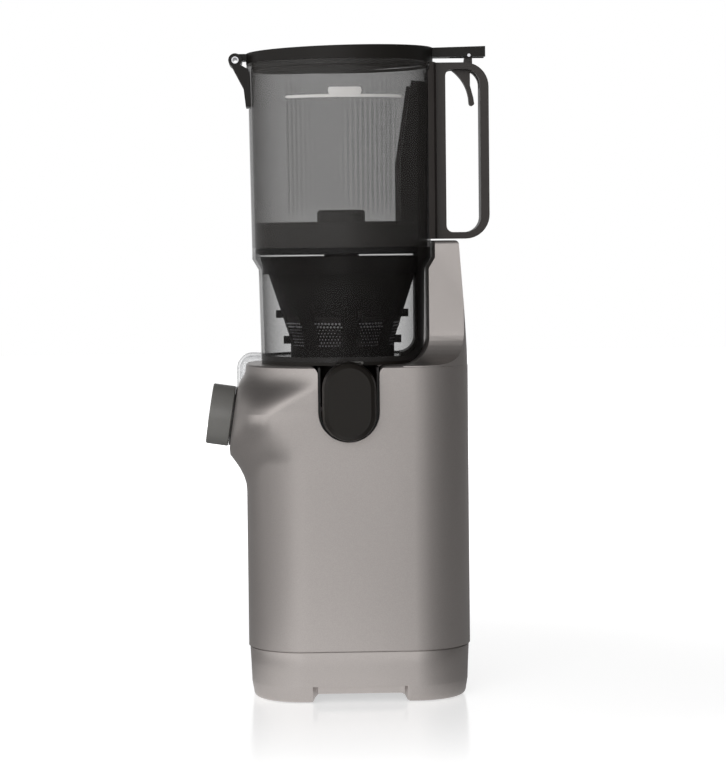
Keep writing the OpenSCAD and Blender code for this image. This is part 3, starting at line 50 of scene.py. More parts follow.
# camera: square to the side, a little towards the knob
shot = {
    "aim": (0.0113, 0.0, 0.2292),
    "distance": 2.0,
    "yaw": 1.7,  # degrees towards the knob
    "height": 0.3394,
    "roll": -0.63,  # degrees about the line of sight
    "pixel": 0.756 * mm,  # at the drive axis
    "frameHeight": 772,
    "sensor": 36.0,
    "clip": (0.05, 50.0),
}


def turnTowards(look, roll=0.0):
    # upright and looking along Y, tilted by the look's rise, swung by its bearing, then rolled about it
    rise = math.atan2(look[2], math.hypot(look[0], look[1]))
    level = Euler((math.pi / 2 + rise, 0.0, math.atan2(-look[0], look[1])))
    return (level.to_matrix() @ Matrix.Rotation(math.radians(roll), 3, "Z")).to_euler()


def placeCamera():
    cam = bpy.data.objects.new("camera", bpy.data.cameras.new("camera"))
    scene.collection.objects.link(cam)
    turn = math.radians(shot["yaw"])
    aim = np.array(shot["aim"])
    eye = aim - shot["distance"] * np.array([math.sin(turn), math.cos(turn), 0.0])
    eye[2] = shot["height"]
    look = aim - eye
    cam.location = eye
    cam.rotation_euler = turnTowards(look, shot["roll"])
    cam.data.sensor_fit = "AUTO"
    cam.data.sensor_width = shot["sensor"]
    cam.data.lens = shot["sensor"] * float(np.linalg.norm(look)) / shot["pixel"] / shot["frameHeight"]
    cam.data.clip_start, cam.data.clip_end = shot["clip"]
    scene.camera = cam


placeCamera()
print("camera set")


class Level:
    # one socket of a finish, so that sums on it are written as Python
    def __init__(self, finish, socket):
        self.finish = finish
        self.socket = socket

    def sum(self, operation, *terms):
        return self.finish.add("ShaderNodeMath", {"operation": operation}, dict(enumerate(terms)))

    def __add__(self, other):
        return self.sum("ADD", self, other)

    def __radd__(self, other):
        return self.sum("ADD", other, self)

    def __sub__(self, other):
        return self.sum("SUBTRACT", self, other)

    def __rsub__(self, other):
        return self.sum("SUBTRACT", other, self)

    def __mul__(self, other):
        return self.sum("MULTIPLY", self, other)

    def __rmul__(self, other):
        return self.sum("MULTIPLY", other, self)

    def __truediv__(self, other):
        return self.sum("DIVIDE", self, other)

    def __rtruediv__(self, other):
        return self.sum("DIVIDE", other, self)

    def __pow__(self, other):
        return self.sum("POWER", self, other)

    def __rpow__(self, other):
        return self.sum("POWER", other, self)

    def __abs__(self):
        return self.sum("ABSOLUTE", self)

    def atLeast(self, other):
        return self.sum("MAXIMUM", self, other)

    def atMost(self, other):
        return self.sum("MINIMUM", self, other)

    def step(self, low, high):
        # 0 below low and 1 above high, smooth between
        return self.finish.add("ShaderNodeMapRange", {"interpolation_type": "SMOOTHSTEP"}, {
            "Value": self, "From Min": low, "From Max": high, "To Min": 0.0, "To Max": 1.0})


plainNames = {
    "colour": "Base Color", "metal": "Metallic", "rough": "Roughness", "alpha": "Alpha",
    "normal": "Normal", "gloss": "Specular IOR Level",
}


def tone(r, g, b):
    # a colour read off a picture, 0 to 255, as linear light
    c = np.array([r, g, b]) / 255.0
    linear = np.where(c <= 0.04045, c / 12.92, ((c + 0.055) / 1.055) ** 2.4)
    return (float(linear[0]), float(linear[1]), float(linear[2]), 1.0)


def grey(level):
    return (level, level, level, 1.0)


def scaled(colour, by):
    return (colour[0] * by, colour[1] * by, colour[2] * by, 1.0)


class Finish:
    # a material, or the world's own tree, filled node by node
    def __init__(self, name, tree=None):
        self.material = None
        if tree is None:
            self.material = bpy.data.materials.new(name)
            self.material.use_nodes = True
            tree = self.material.node_tree
        self.tree = tree
        self.tree.nodes.clear()

    def add(self, kind, settings=None, sockets=None, out=0):
        node = self.tree.nodes.new(kind)
        for key, value in (settings or {}).items():
            if key == "stops":
                stops = node.color_ramp.elements
                for k, (place, colour) in enumerate(value):
                    stop = stops[k] if k < 2 else stops.new(place)
                    stop.position = place
                    stop.color = colour
            else:
                setattr(node, key, value)
        for key, value in (sockets or {}).items():
            if isinstance(value, Level):
                self.tree.links.new(value.socket, node.inputs[key])
            else:
                node.inputs[key].default_value = value
        return Level(self, node.outputs[out])

    def where(self):
        return self.add("ShaderNodeTexCoord", out=3)  # Object coordinates

    def parts(self, vector):
        return [self.add("ShaderNodeSeparateXYZ", None, {0: vector}, out=k) for k in range(3)]

    def noise(self, scale, detail, roughness, stretch=None):
        place = self.where()
        if stretch:
            place = self.add("ShaderNodeMapping", None, {"Vector": place, "Scale": stretch})
        return self.add("ShaderNodeTexNoise", None, {
            "Vector": place, "Scale": scale, "Detail": detail, "Roughness": roughness})

    def blend(self, share, first, second):
        return self.add("ShaderNodeMix", {"data_type": "RGBA"}, {0: share, 6: first, 7: second}, out=2)

    def tinted(self, share, colour, darker, lighter):
        return self.blend(share, scaled(colour, darker), scaled(colour, lighter))

    def relief(self, height, strength, distance):
        return self.add("ShaderNodeBump", None, {
            "Strength": strength, "Distance": distance, "Height": height})

    def close(self, **sockets):
        named = {plainNames[key]: value for key, value in sockets.items()}
        self.wire(self.add("ShaderNodeBsdfPrincipled", None, named), "ShaderNodeOutputMaterial")
        return self.material

    def wire(self, shader, kind):
        self.tree.links.new(shader.socket, self.tree.nodes.new(kind).inputs["Surface"])


# finishes: waves are how many to a metre, how many finer layers, and how strong these are; a relief is its
# strength and depth; a tint is how far a pattern darkens and lightens the colour
paint = {
    "colour": tone(171, 165, 162),
    "metal": 0.9,
    "rough": 0.38,
    "gloss": 0.3,
    "fleck": {"waves": (2600.0, 1.0, 0.4), "from": 0.35, "to": 0.7, "share": 0.7},
    "cloud": (9.0, 2.0, 0.5),
    "tint": (0.93, 1.07),
    "peel": {"waves": (260.0, 2.0, 0.55), "rough": 0.06, "relief": (0.05, 0.2 * mm)},
}


def satinPaint():
    # warm grey satin paint: fine metallic flecks under a faint orange peel
    f = Finish("satin paint")
    spot, peel = paint["fleck"], paint["peel"]
    fleck = f.noise(*spot["waves"]).step(spot["from"], spot["to"])
    share = fleck * spot["share"] + f.noise(*paint["cloud"]) * (1.0 - spot["share"])
    skin = f.noise(*peel["waves"])
    return f.close(
        colour=f.tinted(share, paint["colour"], *paint["tint"]), metal=paint["metal"], gloss=paint["gloss"],
        rough=(skin - 0.5) * peel["rough"] + paint["rough"], normal=f.relief(skin, *peel["relief"]))


plastics = {  # what a plastic leaves out is as in plainPlastic
    "knobPlastic": {"name": "knob plastic", "colour": tone(112, 111, 108), "rough": 0.4, "grain": 1800.0,
                    "depth": 0.15, "cloudy": 0.06},
    "blackPlastic": {"name": "black plastic", "colour": tone(34, 32, 31), "rough": 0.5},
    "chutePlastic": {"name": "chute plastic", "colour": tone(30, 27, 24), "grain": 1600.0, "depth": 0.2,
                     "gloss": 0.2},
    "handlePlastic": {"name": "handle plastic", "colour": tone(58, 54, 52), "gloss": 0.25},
    "darkPart": {"name": "lid plastic", "colour": tone(32, 30, 28), "rough": 0.36, "depth": 0.12,
                 "gloss": 0.15},
    "augerPlastic": {"name": "auger plastic", "colour": tone(16, 14, 13), "depth": 0.2, "gloss": 0.12},
    "frostedMark": {"name": "frosted mark", "colour": tone(205, 203, 201), "rough": 0.6, "grain": 1200.0,
                    "depth": 0.3, "cloudy": 0.06, "gloss": 0.3},
    "capPlastic": {"name": "cap plastic", "colour": tone(214, 214, 214), "rough": 0.35},
    "gearPlastic": {"name": "gear plastic", "colour": tone(222, 217, 200), "rough": 0.45},
}
plainPlastic = {"rough": 0.42, "grain": 1500.0, "depth": 0.25, "cloudy": 0.16, "gloss": 0.5}
plasticSkin = {
    "grain": (2.0, 0.6),
    "cloud": (35.0, 3.0, 0.55),
    "rough": (0.12, 0.06),  # how far clouds and grain change the roughness
    "deep": 0.08 * mm,
}


def mouldedPlastic(look):
    # spark-eroded grain: bumps of two sizes, with a cloudy sheen over larger areas
    p = {**plainPlastic, **look}
    f = Finish(p["name"])
    fine = f.noise(p["grain"], *plasticSkin["grain"])
    cloud = f.noise(*plasticSkin["cloud"])
    cloudRough, grainRough = plasticSkin["rough"]
    return f.close(
        colour=f.tinted(cloud, p["colour"], 1.0 - p["cloudy"], 1.0 + p["cloudy"]),
        rough=(cloud - 0.5) * cloudRough + (fine - 0.5) * grainRough + p["rough"], gloss=p["gloss"],
        normal=f.relief(fine, p["depth"], plasticSkin["deep"]))


smoke = {  # face and edge: how dense the plastic looks square on and along its edges
    "hopperSmoke": {"name": "hopper smoke", "colour": tone(70, 68, 66), "face": 0.34, "edge": 0.9,
                    "rough": 0.16, "flute": 0.09},
    "bowlSmoke": {"name": "bowl smoke", "colour": tone(44, 42, 41), "face": 0.17, "edge": 0.8, "rough": 0.14,
                  # back: a painted shade band down the bowl's back, where it stands against the column
                  "back": {"x": 38.5 * mm, "z": 267.1 * mm, "radius": 13.8 * mm, "soft": 0.9 * mm,
                           "dense": 0.93}},
    "paleClear": {"name": "pale clear", "colour": tone(235, 236, 238), "face": 0.22, "edge": 0.8,
                  "rough": 0.12},
    "funnelSmoke": {"name": "funnel smoke", "colour": tone(24, 22, 20), "face": 0.8, "edge": 0.98,
                    "rough": 0.3, "gloss": 0.15},
}
smokeSkin = {
    "blend": 0.45,
    "rise": 2.2,  # the higher, the nearer to the edge the plastic darkens
    "swirl": {"waves": (26.0, 2.0, 0.5), "stretch": (1.0, 1.0, 0.15), "dense": 0.03},
    "fine": {"waves": (420.0, 1.0, 0.5), "rough": 0.04},
    "gloss": 0.3,
}


def smokePlastic(look):
    # clear tinted plastic: see-through where it faces you, denser along its edges
    f = Finish(look["name"])
    facing = f.add("ShaderNodeLayerWeight", None, {"Blend": smokeSkin["blend"]}, out=1)
    swirl, fine = smokeSkin["swirl"], smokeSkin["fine"]
    flow = f.noise(*swirl["waves"], swirl["stretch"])
    dense = look["face"] + facing ** smokeSkin["rise"] * (look["edge"] - look["face"])
    dense = dense + (flow - 0.5) * swirl["dense"]
    if "back" in look:
        # painted shade: a dark band down the bowl's back where it stands against the column, further than the
        # radius from the line x, z of its round corner
        back = look["back"]
        x, z = f.parts(f.where())[::2]
        out = (x - back["x"]).atLeast(0.0)
        down = (z - back["z"]).atMost(0.0)
        paintedShade = ((out * out + down * down) ** 0.5).step(back["radius"] - back["soft"], back["radius"])
        dense = dense + (back["dense"] - dense) * paintedShade
    if "flute" in look:  # the wall is thicker at each flute
        dense = dense + f.add("ShaderNodeAttribute", {"attribute_name": "flute"}, out=2) * look["flute"]
    return f.close(colour=look["colour"], rough=f.noise(*fine["waves"]) * fine["rough"] + look["rough"],
                   alpha=dense, gloss=look.get("gloss", smokeSkin["gloss"]))


metals = {
    "steel": {"name": "turned steel", "colour": tone(200, 200, 203), "rough": 0.21, "lines": "turned"},
    "meshSteel": {"name": "mesh steel", "colour": tone(62, 60, 59), "rough": 0.43, "lines": "rolled"},
    "motorSteel": {"name": "plated steel", "colour": tone(150, 150, 152), "rough": 0.35, "lines": "turned"},
}
steelSkin = {
    "waves": (900.0, 2.0, 0.6),
    "turned": (0.08, 0.08, 1.0),  # stretch of the lines round a turned piece
    "rolled": (1.0, 0.06, 1.0),  # and along a rolled sheet
    "tint": (0.82, 1.12),
    "rough": 0.15,
    "relief": (0.12, 0.05 * mm),
}


def brushedSteel(look):
    # fine lines left by turning or rolling
    f = Finish(look["name"])
    line = f.noise(*steelSkin["waves"], steelSkin[look["lines"]])
    return f.close(colour=f.tinted(line, look["colour"], *steelSkin["tint"]), metal=1.0,
                   rough=line * steelSkin["rough"] + look["rough"],
                   normal=f.relief(line, *steelSkin["relief"]))


rubberSkin = {
    "dust": (700.0, 3.0, 0.65),
    "bloom": (60.0, 2.0, 0.5),
    "share": 0.6,  # of the bloom in the tint
    "tint": (0.8, 1.3),
    "rough": (0.1, 0.68),
    "gloss": 0.3,
    "relief": (0.3, 0.1 * mm),
}


def softRubber(name, colour):
    # dusty rubber: fine dust over a slow bloom
    k = rubberSkin
    f = Finish(name)
    dust, bloom = f.noise(*k["dust"]), f.noise(*k["bloom"])
    share = bloom * k["share"] + dust * (1.0 - k["share"])
    return f.close(colour=f.tinted(share, colour, *k["tint"]), rough=dust * k["rough"][0] + k["rough"][1],
                   gloss=k["gloss"], normal=f.relief(dust, *k["relief"]))


alloySkin = {
    "pits": (500.0, 4.0, 0.7),
    "tint": (0.8, 1.2),
    "metal": 0.8,
    "rough": (0.2, 0.45),
    "relief": (0.4, 0.2 * mm),
}


def castAlloy(name, colour):
    # pitted casting skin
    k = alloySkin
    f = Finish(name)
    pits = f.noise(*k["pits"])
    return f.close(colour=f.tinted(pits, colour, *k["tint"]), metal=k["metal"],
                   rough=pits * k["rough"][0] + k["rough"][1], normal=f.relief(pits, *k["relief"]))


board = {
    "laminate": ((0.02, 0.10, 0.045, 1.0), (0.03, 0.15, 0.06, 1.0)),
    "tin": (0.35, 0.36, 0.34, 1.0),
    "tracks": {"Scale": 160.0, "Color1": grey(0.0), "Color2": grey(0.1), "Mortar": grey(1.0),
               "Mortar Size": 0.03},
    "weave": (1200.0, 2.0, 0.5),
    "rough": (0.2, 0.35),
}


def circuitBoard():
    # green laminate with tinned tracks on a 3 mm grid
    f = Finish("circuit board")
    track = f.add("ShaderNodeTexBrick", {"offset": 0.5}, {"Vector": f.where(), **board["tracks"]})
    weave = f.noise(*board["weave"])
    return f.close(colour=f.blend(track, f.blend(weave, *board["laminate"]), board["tin"]),
                   rough=weave * board["rough"][0] + board["rough"][1])


finishes = {
    "satinPaint": satinPaint(),
    **{key: mouldedPlastic(look) for key, look in plastics.items()},
    **{key: smokePlastic(look) for key, look in smoke.items()},
    **{key: brushedSteel(look) for key, look in metals.items()},
    "rubber": softRubber("rubber", tone(32, 32, 32)),
    "paleRubber": softRubber("pale rubber", tone(212, 212, 208)),
    "castAlloy": castAlloy("cast alloy", tone(140, 140, 142)),
    "circuitBoard": circuitBoard(),
}
print("finishes:", len(finishes))

# which finish each solid takes
dress = {
    "satinPaint": "lower_housing upper_housing base_skirt",
    "knobPlastic": "control_knob",
    "blackPlastic": "bottom_plate knob_bezel switch_body cord_gland chute_liner interlock_switch cooling_fan",
    "chutePlastic": "bowl_base pulp_chute back_rib",
    "handlePlastic": "handle lid_trigger",
    "darkPart": "hopper_lid hinge_bracket",
    "funnelSmoke": "feed_funnel feed_guide",
    "hopperSmoke": "hopper",
    "bowlSmoke": "bowl",
    "paleClear": "juice_spout",
    "capPlastic": "juice_cap",
    "augerPlastic": "auger auger_head strainer_frame",
    "meshSteel": "strainer_mesh",
    "rubber": "foot_pads drive_seal bowl_gasket collar_seal lid_seal pulp_plug",
    "paleRubber": "cap_seal",
    "steel": "bottom_screws motor_bearings gearbox_screws cluster_axle drive_bearings switch_spindle "
             "rotor_shaft drive_shaft cap_pin handle_screws hinge_pin trigger_pin",
    "motorSteel": "motor_can rotor_core",
    "gearPlastic": "cluster_gear output_gear",
    "castAlloy": "gearbox_case gearbox_cover",
    "circuitBoard": "control_board",
}
soft = {"join": 2e-6, "crease": 32.0}  # metres, degrees


def softenedFaces():
    # joins a solid's loose triangles and shades it smooth except across edges sharper than the crease
    group = bpy.data.node_groups.new("softened faces", "GeometryNodeTree")
    group.interface.new_socket("Geometry", in_out="INPUT", socket_type="NodeSocketGeometry")
    group.interface.new_socket("Geometry", in_out="OUTPUT", socket_type="NodeSocketGeometry")
    make = group.nodes.new
    start, end = make("NodeGroupInput"), make("NodeGroupOutput")
    weld = make("GeometryNodeMergeByDistance")
    weld.inputs["Distance"].default_value = soft["join"]
    smooth = make("GeometryNodeSetShadeSmooth")
    smooth.domain = "FACE"
    bend = make("GeometryNodeInputMeshEdgeAngle")
    sharp = make("FunctionNodeCompare")
    sharp.operation = "GREATER_THAN"
    sharp.inputs[1].default_value = math.radians(soft["crease"])
    crease = make("GeometryNodeSetShadeSmooth")
    crease.domain = "EDGE"
    crease.inputs["Shade Smooth"].default_value = False
    link = group.links.new
    link(start.outputs[0], weld.inputs["Geometry"])
    link(weld.outputs[0], smooth.inputs["Geometry"])
    link(smooth.outputs[0], crease.inputs["Geometry"])
    link(bend.outputs["Unsigned Angle"], sharp.inputs[0])
    link(sharp.outputs[0], crease.inputs["Selection"])
    link(crease.outputs[0], end.inputs[0])
    return group


softened = softenedFaces()


def soften(solid):
    solid.modifiers.new("softened faces", "NODES").node_group = softened


for finish, names in dress.items():
    for name in names.split():
        solid = nodes[name]
        solid.data.materials.clear()
        solid.data.materials.append(finishes[finish])
        soften(solid)
print("solids dressed")


# pieces of this scene's own: surfaces on a grid of two parameters, in millimetres and degrees
def gridFaces(along, around, closeAlong):
    # the four corners of every cell; round the section the grid closes on itself, and along it may
    i = np.arange(along if closeAlong else along - 1)[:, None]
    j = np.arange(around)[None, :]
    here, there = i * around, (i + 1) % along * around
    beside = (j + 1) % around
    return np.stack([here + j, here + beside, there + beside, there + j], axis=-1).reshape(-1, 4)


def addPiece(name, points, faces, finish, body, flutes=None):
    mesh = bpy.data.meshes.new(name)
    mesh.from_pydata((points.reshape(-1, 3) * mm).tolist(), [], faces)
    if flutes is not None:
        thick = mesh.attributes.new("flute", "FLOAT", "POINT")
        thick.data.foreach_set("value", flutes.reshape(-1).astype(np.float32))
    mesh.materials.append(finishes[finish])
    made = bpy.data.objects.new(name, mesh)
    scene.collection.objects.link(made)
    soften(made)
    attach(made, body)
    return made


def gridPiece(name, grid, closeAlong, finish, body, flutes=None):
    # grid[i, j] is a point: i counts along the path, j round the section
    faces = gridFaces(*grid.shape[:2], closeAlong).tolist()
    return addPiece(name, grid, faces, finish, body, flutes)


def turned(angles, radii, heights):
    # points at these radii and heights, carried round the drive axis: (angle, section point, xyz)
    a = angles[:, None]
    x, y = driveX / mm + radii * np.cos(a), radii * np.sin(a)
    return np.stack(np.broadcast_arrays(x, y, heights), axis=-1)


def fullTurn(steps):
    return np.linspace(0.0, 2 * np.pi, steps, endpoint=False)


def squarer(wave, power):
    # a sine or cosine with flatter tops: its sign times its size to a power below one
    return np.sign(wave) * np.abs(wave) ** power


def rowsBetween(corners, step):
    # a section's corners with rows put in between, none further apart than the step
    loop = np.array(corners, float)
    out = []
    for first, second in zip(loop, np.roll(loop, -1, axis=0)):
        count = max(1, int(np.ceil(np.hypot(*(second - first)) / step)))
        out.append(first + (second - first) * np.linspace(0.0, 1.0, count, endpoint=False)[:, None])
    return np.concatenate(out)


hopperWall = {
    "wall": 2.4,
    "flange": 1.0,
    "flangeHigh": 4.0,
    "flangeSlope": 1.0,
    "mouth": 5.0,
    "taper": 1.5,
    "fluteLow": 23.0,  # above the foot
    "fluteTop": 14.0,  # below the rim
    "fluteEnd": 4.0,  # height over which a flute fades out
    "fluteDepth": 0.8,
    "flutePitch": 3.4,  # degrees
    "fluteReach": 40.0,  # degrees either side of the near and the far side
    "fluteEdge": 2.0,  # degrees over which the last flutes fade out
    "rowStep": 12.0,
    "steps": 1060,
}


def makeHopper():
    # a tapering tube with a flange; its inner radius falls by depth * cos(turn)^2 over the flutes
    h = hopperWall
    low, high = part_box("hopper")
    foot, rim = low.z / mm, high.z / mm
    flangeR = (high.x - low.x) / 2 / mm
    rimR = flangeR - h["flange"]
    footR = rimR - h["taper"]
    ledge = rim - h["flangeHigh"]
    section = rowsBetween([
        (footR, foot), (rimR, ledge - h["flangeSlope"]), (flangeR, ledge), (flangeR, rim),
        (rimR - h["wall"], rim), (rimR - h["wall"], rim - h["mouth"]), (footR - h["wall"], foot),
    ], h["rowStep"])[::-1]
    r, z = section.T
    angles = fullTurn(h["steps"])
    side = np.degrees(np.abs(np.mod(angles, np.pi) - np.pi / 2))
    edge = np.clip((h["fluteReach"] - side) / h["fluteEdge"], 0.0, 1.0)
    flute = edge * np.cos(np.pi * side / h["flutePitch"]) ** 2
    inner = r < rimR - 0.5 * h["wall"] - h["taper"] * (rim - z) / (rim - foot)
    bottom = np.clip((z - foot - h["fluteLow"]) / h["fluteEnd"], 0.0, 1.0)
    top = np.clip((rim - h["fluteTop"] - z) / h["fluteEnd"], 0.0, 1.0)
    thick = flute[:, None] * (inner * bottom * top)[None, :]
    grid = turned(angles, r - h["fluteDepth"] * thick, z)
    made = gridPiece("hopper_wall", grid, True, "hopperSmoke", "hopper_set", thick)
    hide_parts("hopper")


levelMark = {  # millimetres from the drive axis and up from the floor
    "line": {"from": -41.5, "to": 45.5, "middle": 444.3, "half": 1.1, "thick": 0.5},
    "plate": {"from": -10.0, "to": 14.5, "middle": 448.0, "half": 2.7, "thick": 0.45},
    "ends": 24,  # the higher, the squarer
    "square": (0.3, 0.5),
    "steps": (49, 24),
}


def makeMark(name):
    # a superellipse section carried along the hopper's near wall and drawn in to nothing at its ends
    mark, shape = levelMark[name], levelMark
    low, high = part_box("hopper")
    rimR = (high.x - low.x) / 2 / mm - hopperWall["flange"]
    share = (high.z / mm - mark["middle"]) / (high.z - low.z) * mm
    wallR = rimR - hopperWall["taper"] * share
    along = np.linspace(-1.0, 1.0, shape["steps"][0])
    x = (mark["from"] + mark["to"]) / 2 + (mark["to"] - mark["from"]) / 2 * along
    drawn = np.sqrt(1.0 - np.abs(along) ** shape["ends"])[:, None]
    t = fullTurn(shape["steps"][1])[None, :]
    up = mark["middle"] + mark["half"] * drawn * squarer(np.cos(t), shape["square"][0])
    out = wallR + mark["thick"] / 2 * (1.0 + drawn * squarer(np.sin(t), shape["square"][1]))
    grid = turned(-np.pi / 2 + np.arcsin(x / wallR), out, up)
    gridPiece("level_" + name, grid, False, "frostedMark", "hopper_set")


strainerRim = {
    "section": [(59.1, 314.6), (59.1, 318.6), (61.6, 327.4), (60.1, 327.4), (57.6, 318.6), (57.6, 314.6)],
    "rowStep": 6.0,
    "steps": 144,
}


def makeStrainerRim():
    # a flared band turned about the drive axis, standing on the strainer's rim inside the bowl's collar
    r, z = rowsBetween(strainerRim["section"], strainerRim["rowStep"])[::-1].T
    grid = turned(fullTurn(strainerRim["steps"]), r, z)
    gridPiece("strainer_rim", grid, True, "augerPlastic", "bowl_set")


sievePips = {
    "footR": 39.0,
    "knee": 264.5,
    "spread": 0.3238,  # how much the strainer widens for each millimetre up
    "sunk": 0.5,
    "windows": 8,
    "first": -60.5,  # bearing of the first window's middle
    "rows": 8,
    "rowStep": 2.35,
    "top": 277.6,
    "columns": 8,
    "columnStep": 3.55,
    "stagger": 0.5,  # of a column, every other row
    "brightRows": 2,
    "size": (0.95, 0.5),  # radius of a pip in the bright rows and below them
    "rings": 3,
    "sides": 8,
}


def makePips():
    # small domes, each a polar cap: t * (cos, sin) of its radius across, sqrt(1 - t^2) of it outwards
    s = sievePips
    window, row, column = [v.ravel() for v in np.meshgrid(
        np.arange(s["windows"]), np.arange(s["rows"]), np.arange(s["columns"]), indexing="ij")]
    place = column - (s["columns"] - 1) / 2 + (row % 2 - 0.5) * s["stagger"]
    a = np.radians(s["first"] + window * 360.0 / s["windows"] + place * s["columnStep"])
    z = s["top"] - row * s["rowStep"]
    r = s["footR"] + s["spread"] * np.clip(z - s["knee"], 0.0, None) - s["sunk"]
    size = np.where(row < s["brightRows"], *s["size"])
    middle = np.stack([driveX / mm + r * np.cos(a), r * np.sin(a), z], axis=-1)
    outward = np.stack([np.cos(a), np.sin(a), np.zeros_like(a)], axis=-1)
    sideways = np.stack([-np.sin(a), np.cos(a), np.zeros_like(a)], axis=-1)
    upward = np.array([0.0, 0.0, 1.0])
    t = np.linspace(1.0, 0.0, s["rings"])[:, None]
    p = fullTurn(s["sides"])[None, :]
    across, up = t * np.cos(p), t * np.sin(p)
    rise = np.broadcast_to(np.sqrt(1.0 - t ** 2), across.shape)
    dome = middle[:, None, None, :] + size[:, None, None, None] * (
        across[..., None] * sideways[:, None, None, :] + rise[..., None] * outward[:, None, None, :]
        + up[..., None] * upward)
    first = np.arange(len(z))[:, None] * s["rings"] * s["sides"]
    quads = gridFaces(s["rings"], s["sides"], False)
    faces = (quads[None] + first[..., None]).reshape(-1, 4).tolist()
    backs = (np.arange(s["sides"])[::-1][None] + first).tolist()
    addPiece("sieve_pips", dome, faces + backs, "steel", "bowl_set")


skirt = {
    "ahead": 1.2,  # past the solid's front
    "inset": 1.0,  # from the housing's sides and back
    "corner": 41.0,
    "square": 0.28,  # spreads the columns evenly along the straight sides
    "high": 39.3,
    "low": 0.9,
    "taper": 2.4,
    "fillet": 4.0,
    "filletRows": 7,
    "wall": 2.6,
    # rows as inset and height: the seam groove under the housing, the outside, and the inside going up
    "outside": [(1.3, 39.3), (1.3, 38.5), (0.3, 38.3), (0.0, 37.5), (0.6, 26.0), (1.1, 12.85), (1.1, 12.75)],
    "inside": [(9.0, 0.9), (9.0, 8.0), (3.8, 16.0), (2.6, 39.3)],
    "recess": {"from": -30.0, "to": 40.0, "slope": 3.0, "high": 12.8, "deep": 6.5, "lift": 6.0,
               "liftBelow": 8.0, "liftOver": 6.0},
    "sideways": 0.9,  # how square to the side a column looks to be in the recess
    "steps": 720,
}


def makeSkirt():
    # a rounded rectangle, drawn in by each row's inset; the recess draws its rows in further and lifts
    # the lowest ones
    k = skirt
    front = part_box("base_skirt")[0].x / mm - k["ahead"]
    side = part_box("lower_housing")[1]
    back, halfY = side.x / mm - k["inset"], side.y / mm - k["inset"]
    middle, halfX = (front + back) / 2, (back - front) / 2
    bend = np.radians(np.linspace(0.0, 90.0, k["filletRows"]))
    filletIn = k["taper"] + k["fillet"] * (1.0 - np.cos(bend))
    filletZ = k["low"] + k["fillet"] * (1.0 - np.sin(bend))
    outside = k["outside"] + list(zip(filletIn, filletZ))
    inset, z = np.array(outside + k["inside"]).T

    # the plan: a squared-off turn, cut to the corners' centres, and the corner's radius from there
    turn = fullTurn(k["steps"])
    wayX, wayY = halfX * squarer(np.cos(turn), k["square"]), halfY * squarer(np.sin(turn), k["square"])
    coreX, coreY = halfX - k["corner"], halfY - k["corner"]
    alongX, alongY = np.clip(wayX, -coreX, coreX), np.clip(wayY, -coreY, coreY)
    offX, offY = wayX - alongX, wayY - alongY
    length = np.maximum(np.hypot(offX, offY), 1e-9)
    unitX, unitY = offX / length, offY / length
    x, y = middle + alongX + unitX * k["corner"], alongY + unitY * k["corner"]

    r = k["recess"]
    start = np.clip((x - r["from"]) / r["slope"], 0.0, 1.0)
    end = np.clip((r["to"] - x) / r["slope"], 0.0, 1.0)
    inRecess = (start * end * (np.abs(unitY) > k["sideways"]))[:, None]
    deeper = (z < r["high"]) * (np.arange(len(z)) < len(outside)) * np.maximum(r["deep"] - inset, 0.0)
    drawn = inset + inRecess * deeper
    lift = inRecess * np.clip((r["liftBelow"] - z) / r["liftOver"], 0.0, 1.0) * r["lift"]
    grid = np.stack([x[:, None] - unitX[:, None] * drawn, y[:, None] - unitY[:, None] * drawn, z + lift],
                    axis=-1)
    made = gridPiece("skirt_shell", grid, True, "satinPaint", "base")
    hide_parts("base_skirt")


chuteLipHighlight = {
    "from": -1.5, "to": 14.0, "y": -63.0, "middle": 249.6,
    "half": (1.2, 1.1),
    "ends": 16,
    "square": 0.5,
    "steps": (33, 20),
}


def makeLipHighlight():
    # a superellipse section carried along the chute's mouth and drawn in to nothing at its ends; its paler
    # plastic on the dark chute is a painted highlight along the mouth
    c = chuteLipHighlight
    along = np.linspace(-1.0, 1.0, c["steps"][0])[:, None]
    drawn = np.sqrt(1.0 - np.abs(along) ** c["ends"])
    t = -fullTurn(c["steps"][1])[None, :]
    x = (c["from"] + c["to"]) / 2 + (c["to"] - c["from"]) / 2 * along
    y = c["y"] - c["half"][0] * drawn * squarer(np.cos(t), c["square"])
    z = c["middle"] + c["half"][1] * drawn * squarer(np.sin(t), c["square"])
    grid = np.stack(np.broadcast_arrays(driveX / mm + x, y, z), axis=-1)
    # the paler knob plastic here is a painted highlight, not the chute's own colour
    gridPiece("chute_lip_highlight", grid, False, "knobPlastic", "bowl_set")


makeHopper()
makePips()
makeSkirt()
makeLipHighlight()
makeMark("line")
makeMark("plate")
makeStrainerRim()
print("own pieces made")


# studio: a soft bright wall on the camera's side, dark at its ends, a paler wall behind
studio = {
    "key": {"place": (-0.9, -2.6, 0.7), "size": 1.7, "power": 28.0},
    "back": {"place": (0.2, 2.7, 0.9), "size": 1.8, "power": 14.0},
    "aim": (0.0, 0.0, 0.24),
    # bearing from the camera's side in degrees, positive to the right, and how bright the room is there
    "ring": [(-180, 1.0), (-150, 0.4), (-110, 0.55), (-75, 1.45), (-45, 1.75), (-15, 1.85), (6, 1.75),
             (26, 0.75), (45, 0.35), (70, 0.12), (110, 0.17), (150, 0.35), (180, 1.0)],
    "sky": {"level": 0.12, "from": 0.05, "to": 0.75},  # straight up, as a share of the horizon's level
}


def placeLamp(name, spec):
    lamp = bpy.data.lights.new(name, "AREA")
    lamp.shape = "SQUARE"
    lamp.size = spec["size"]
    lamp.energy = spec["power"]
    holder = bpy.data.objects.new(name, lamp)
    scene.collection.objects.link(holder)
    holder.location = spec["place"]
    holder.rotation_euler = turnTowards(np.array(studio["aim"]) - np.array(spec["place"]))
    holder.visible_camera = False
    holder.visible_glossy = False  # polished faces see the room alone


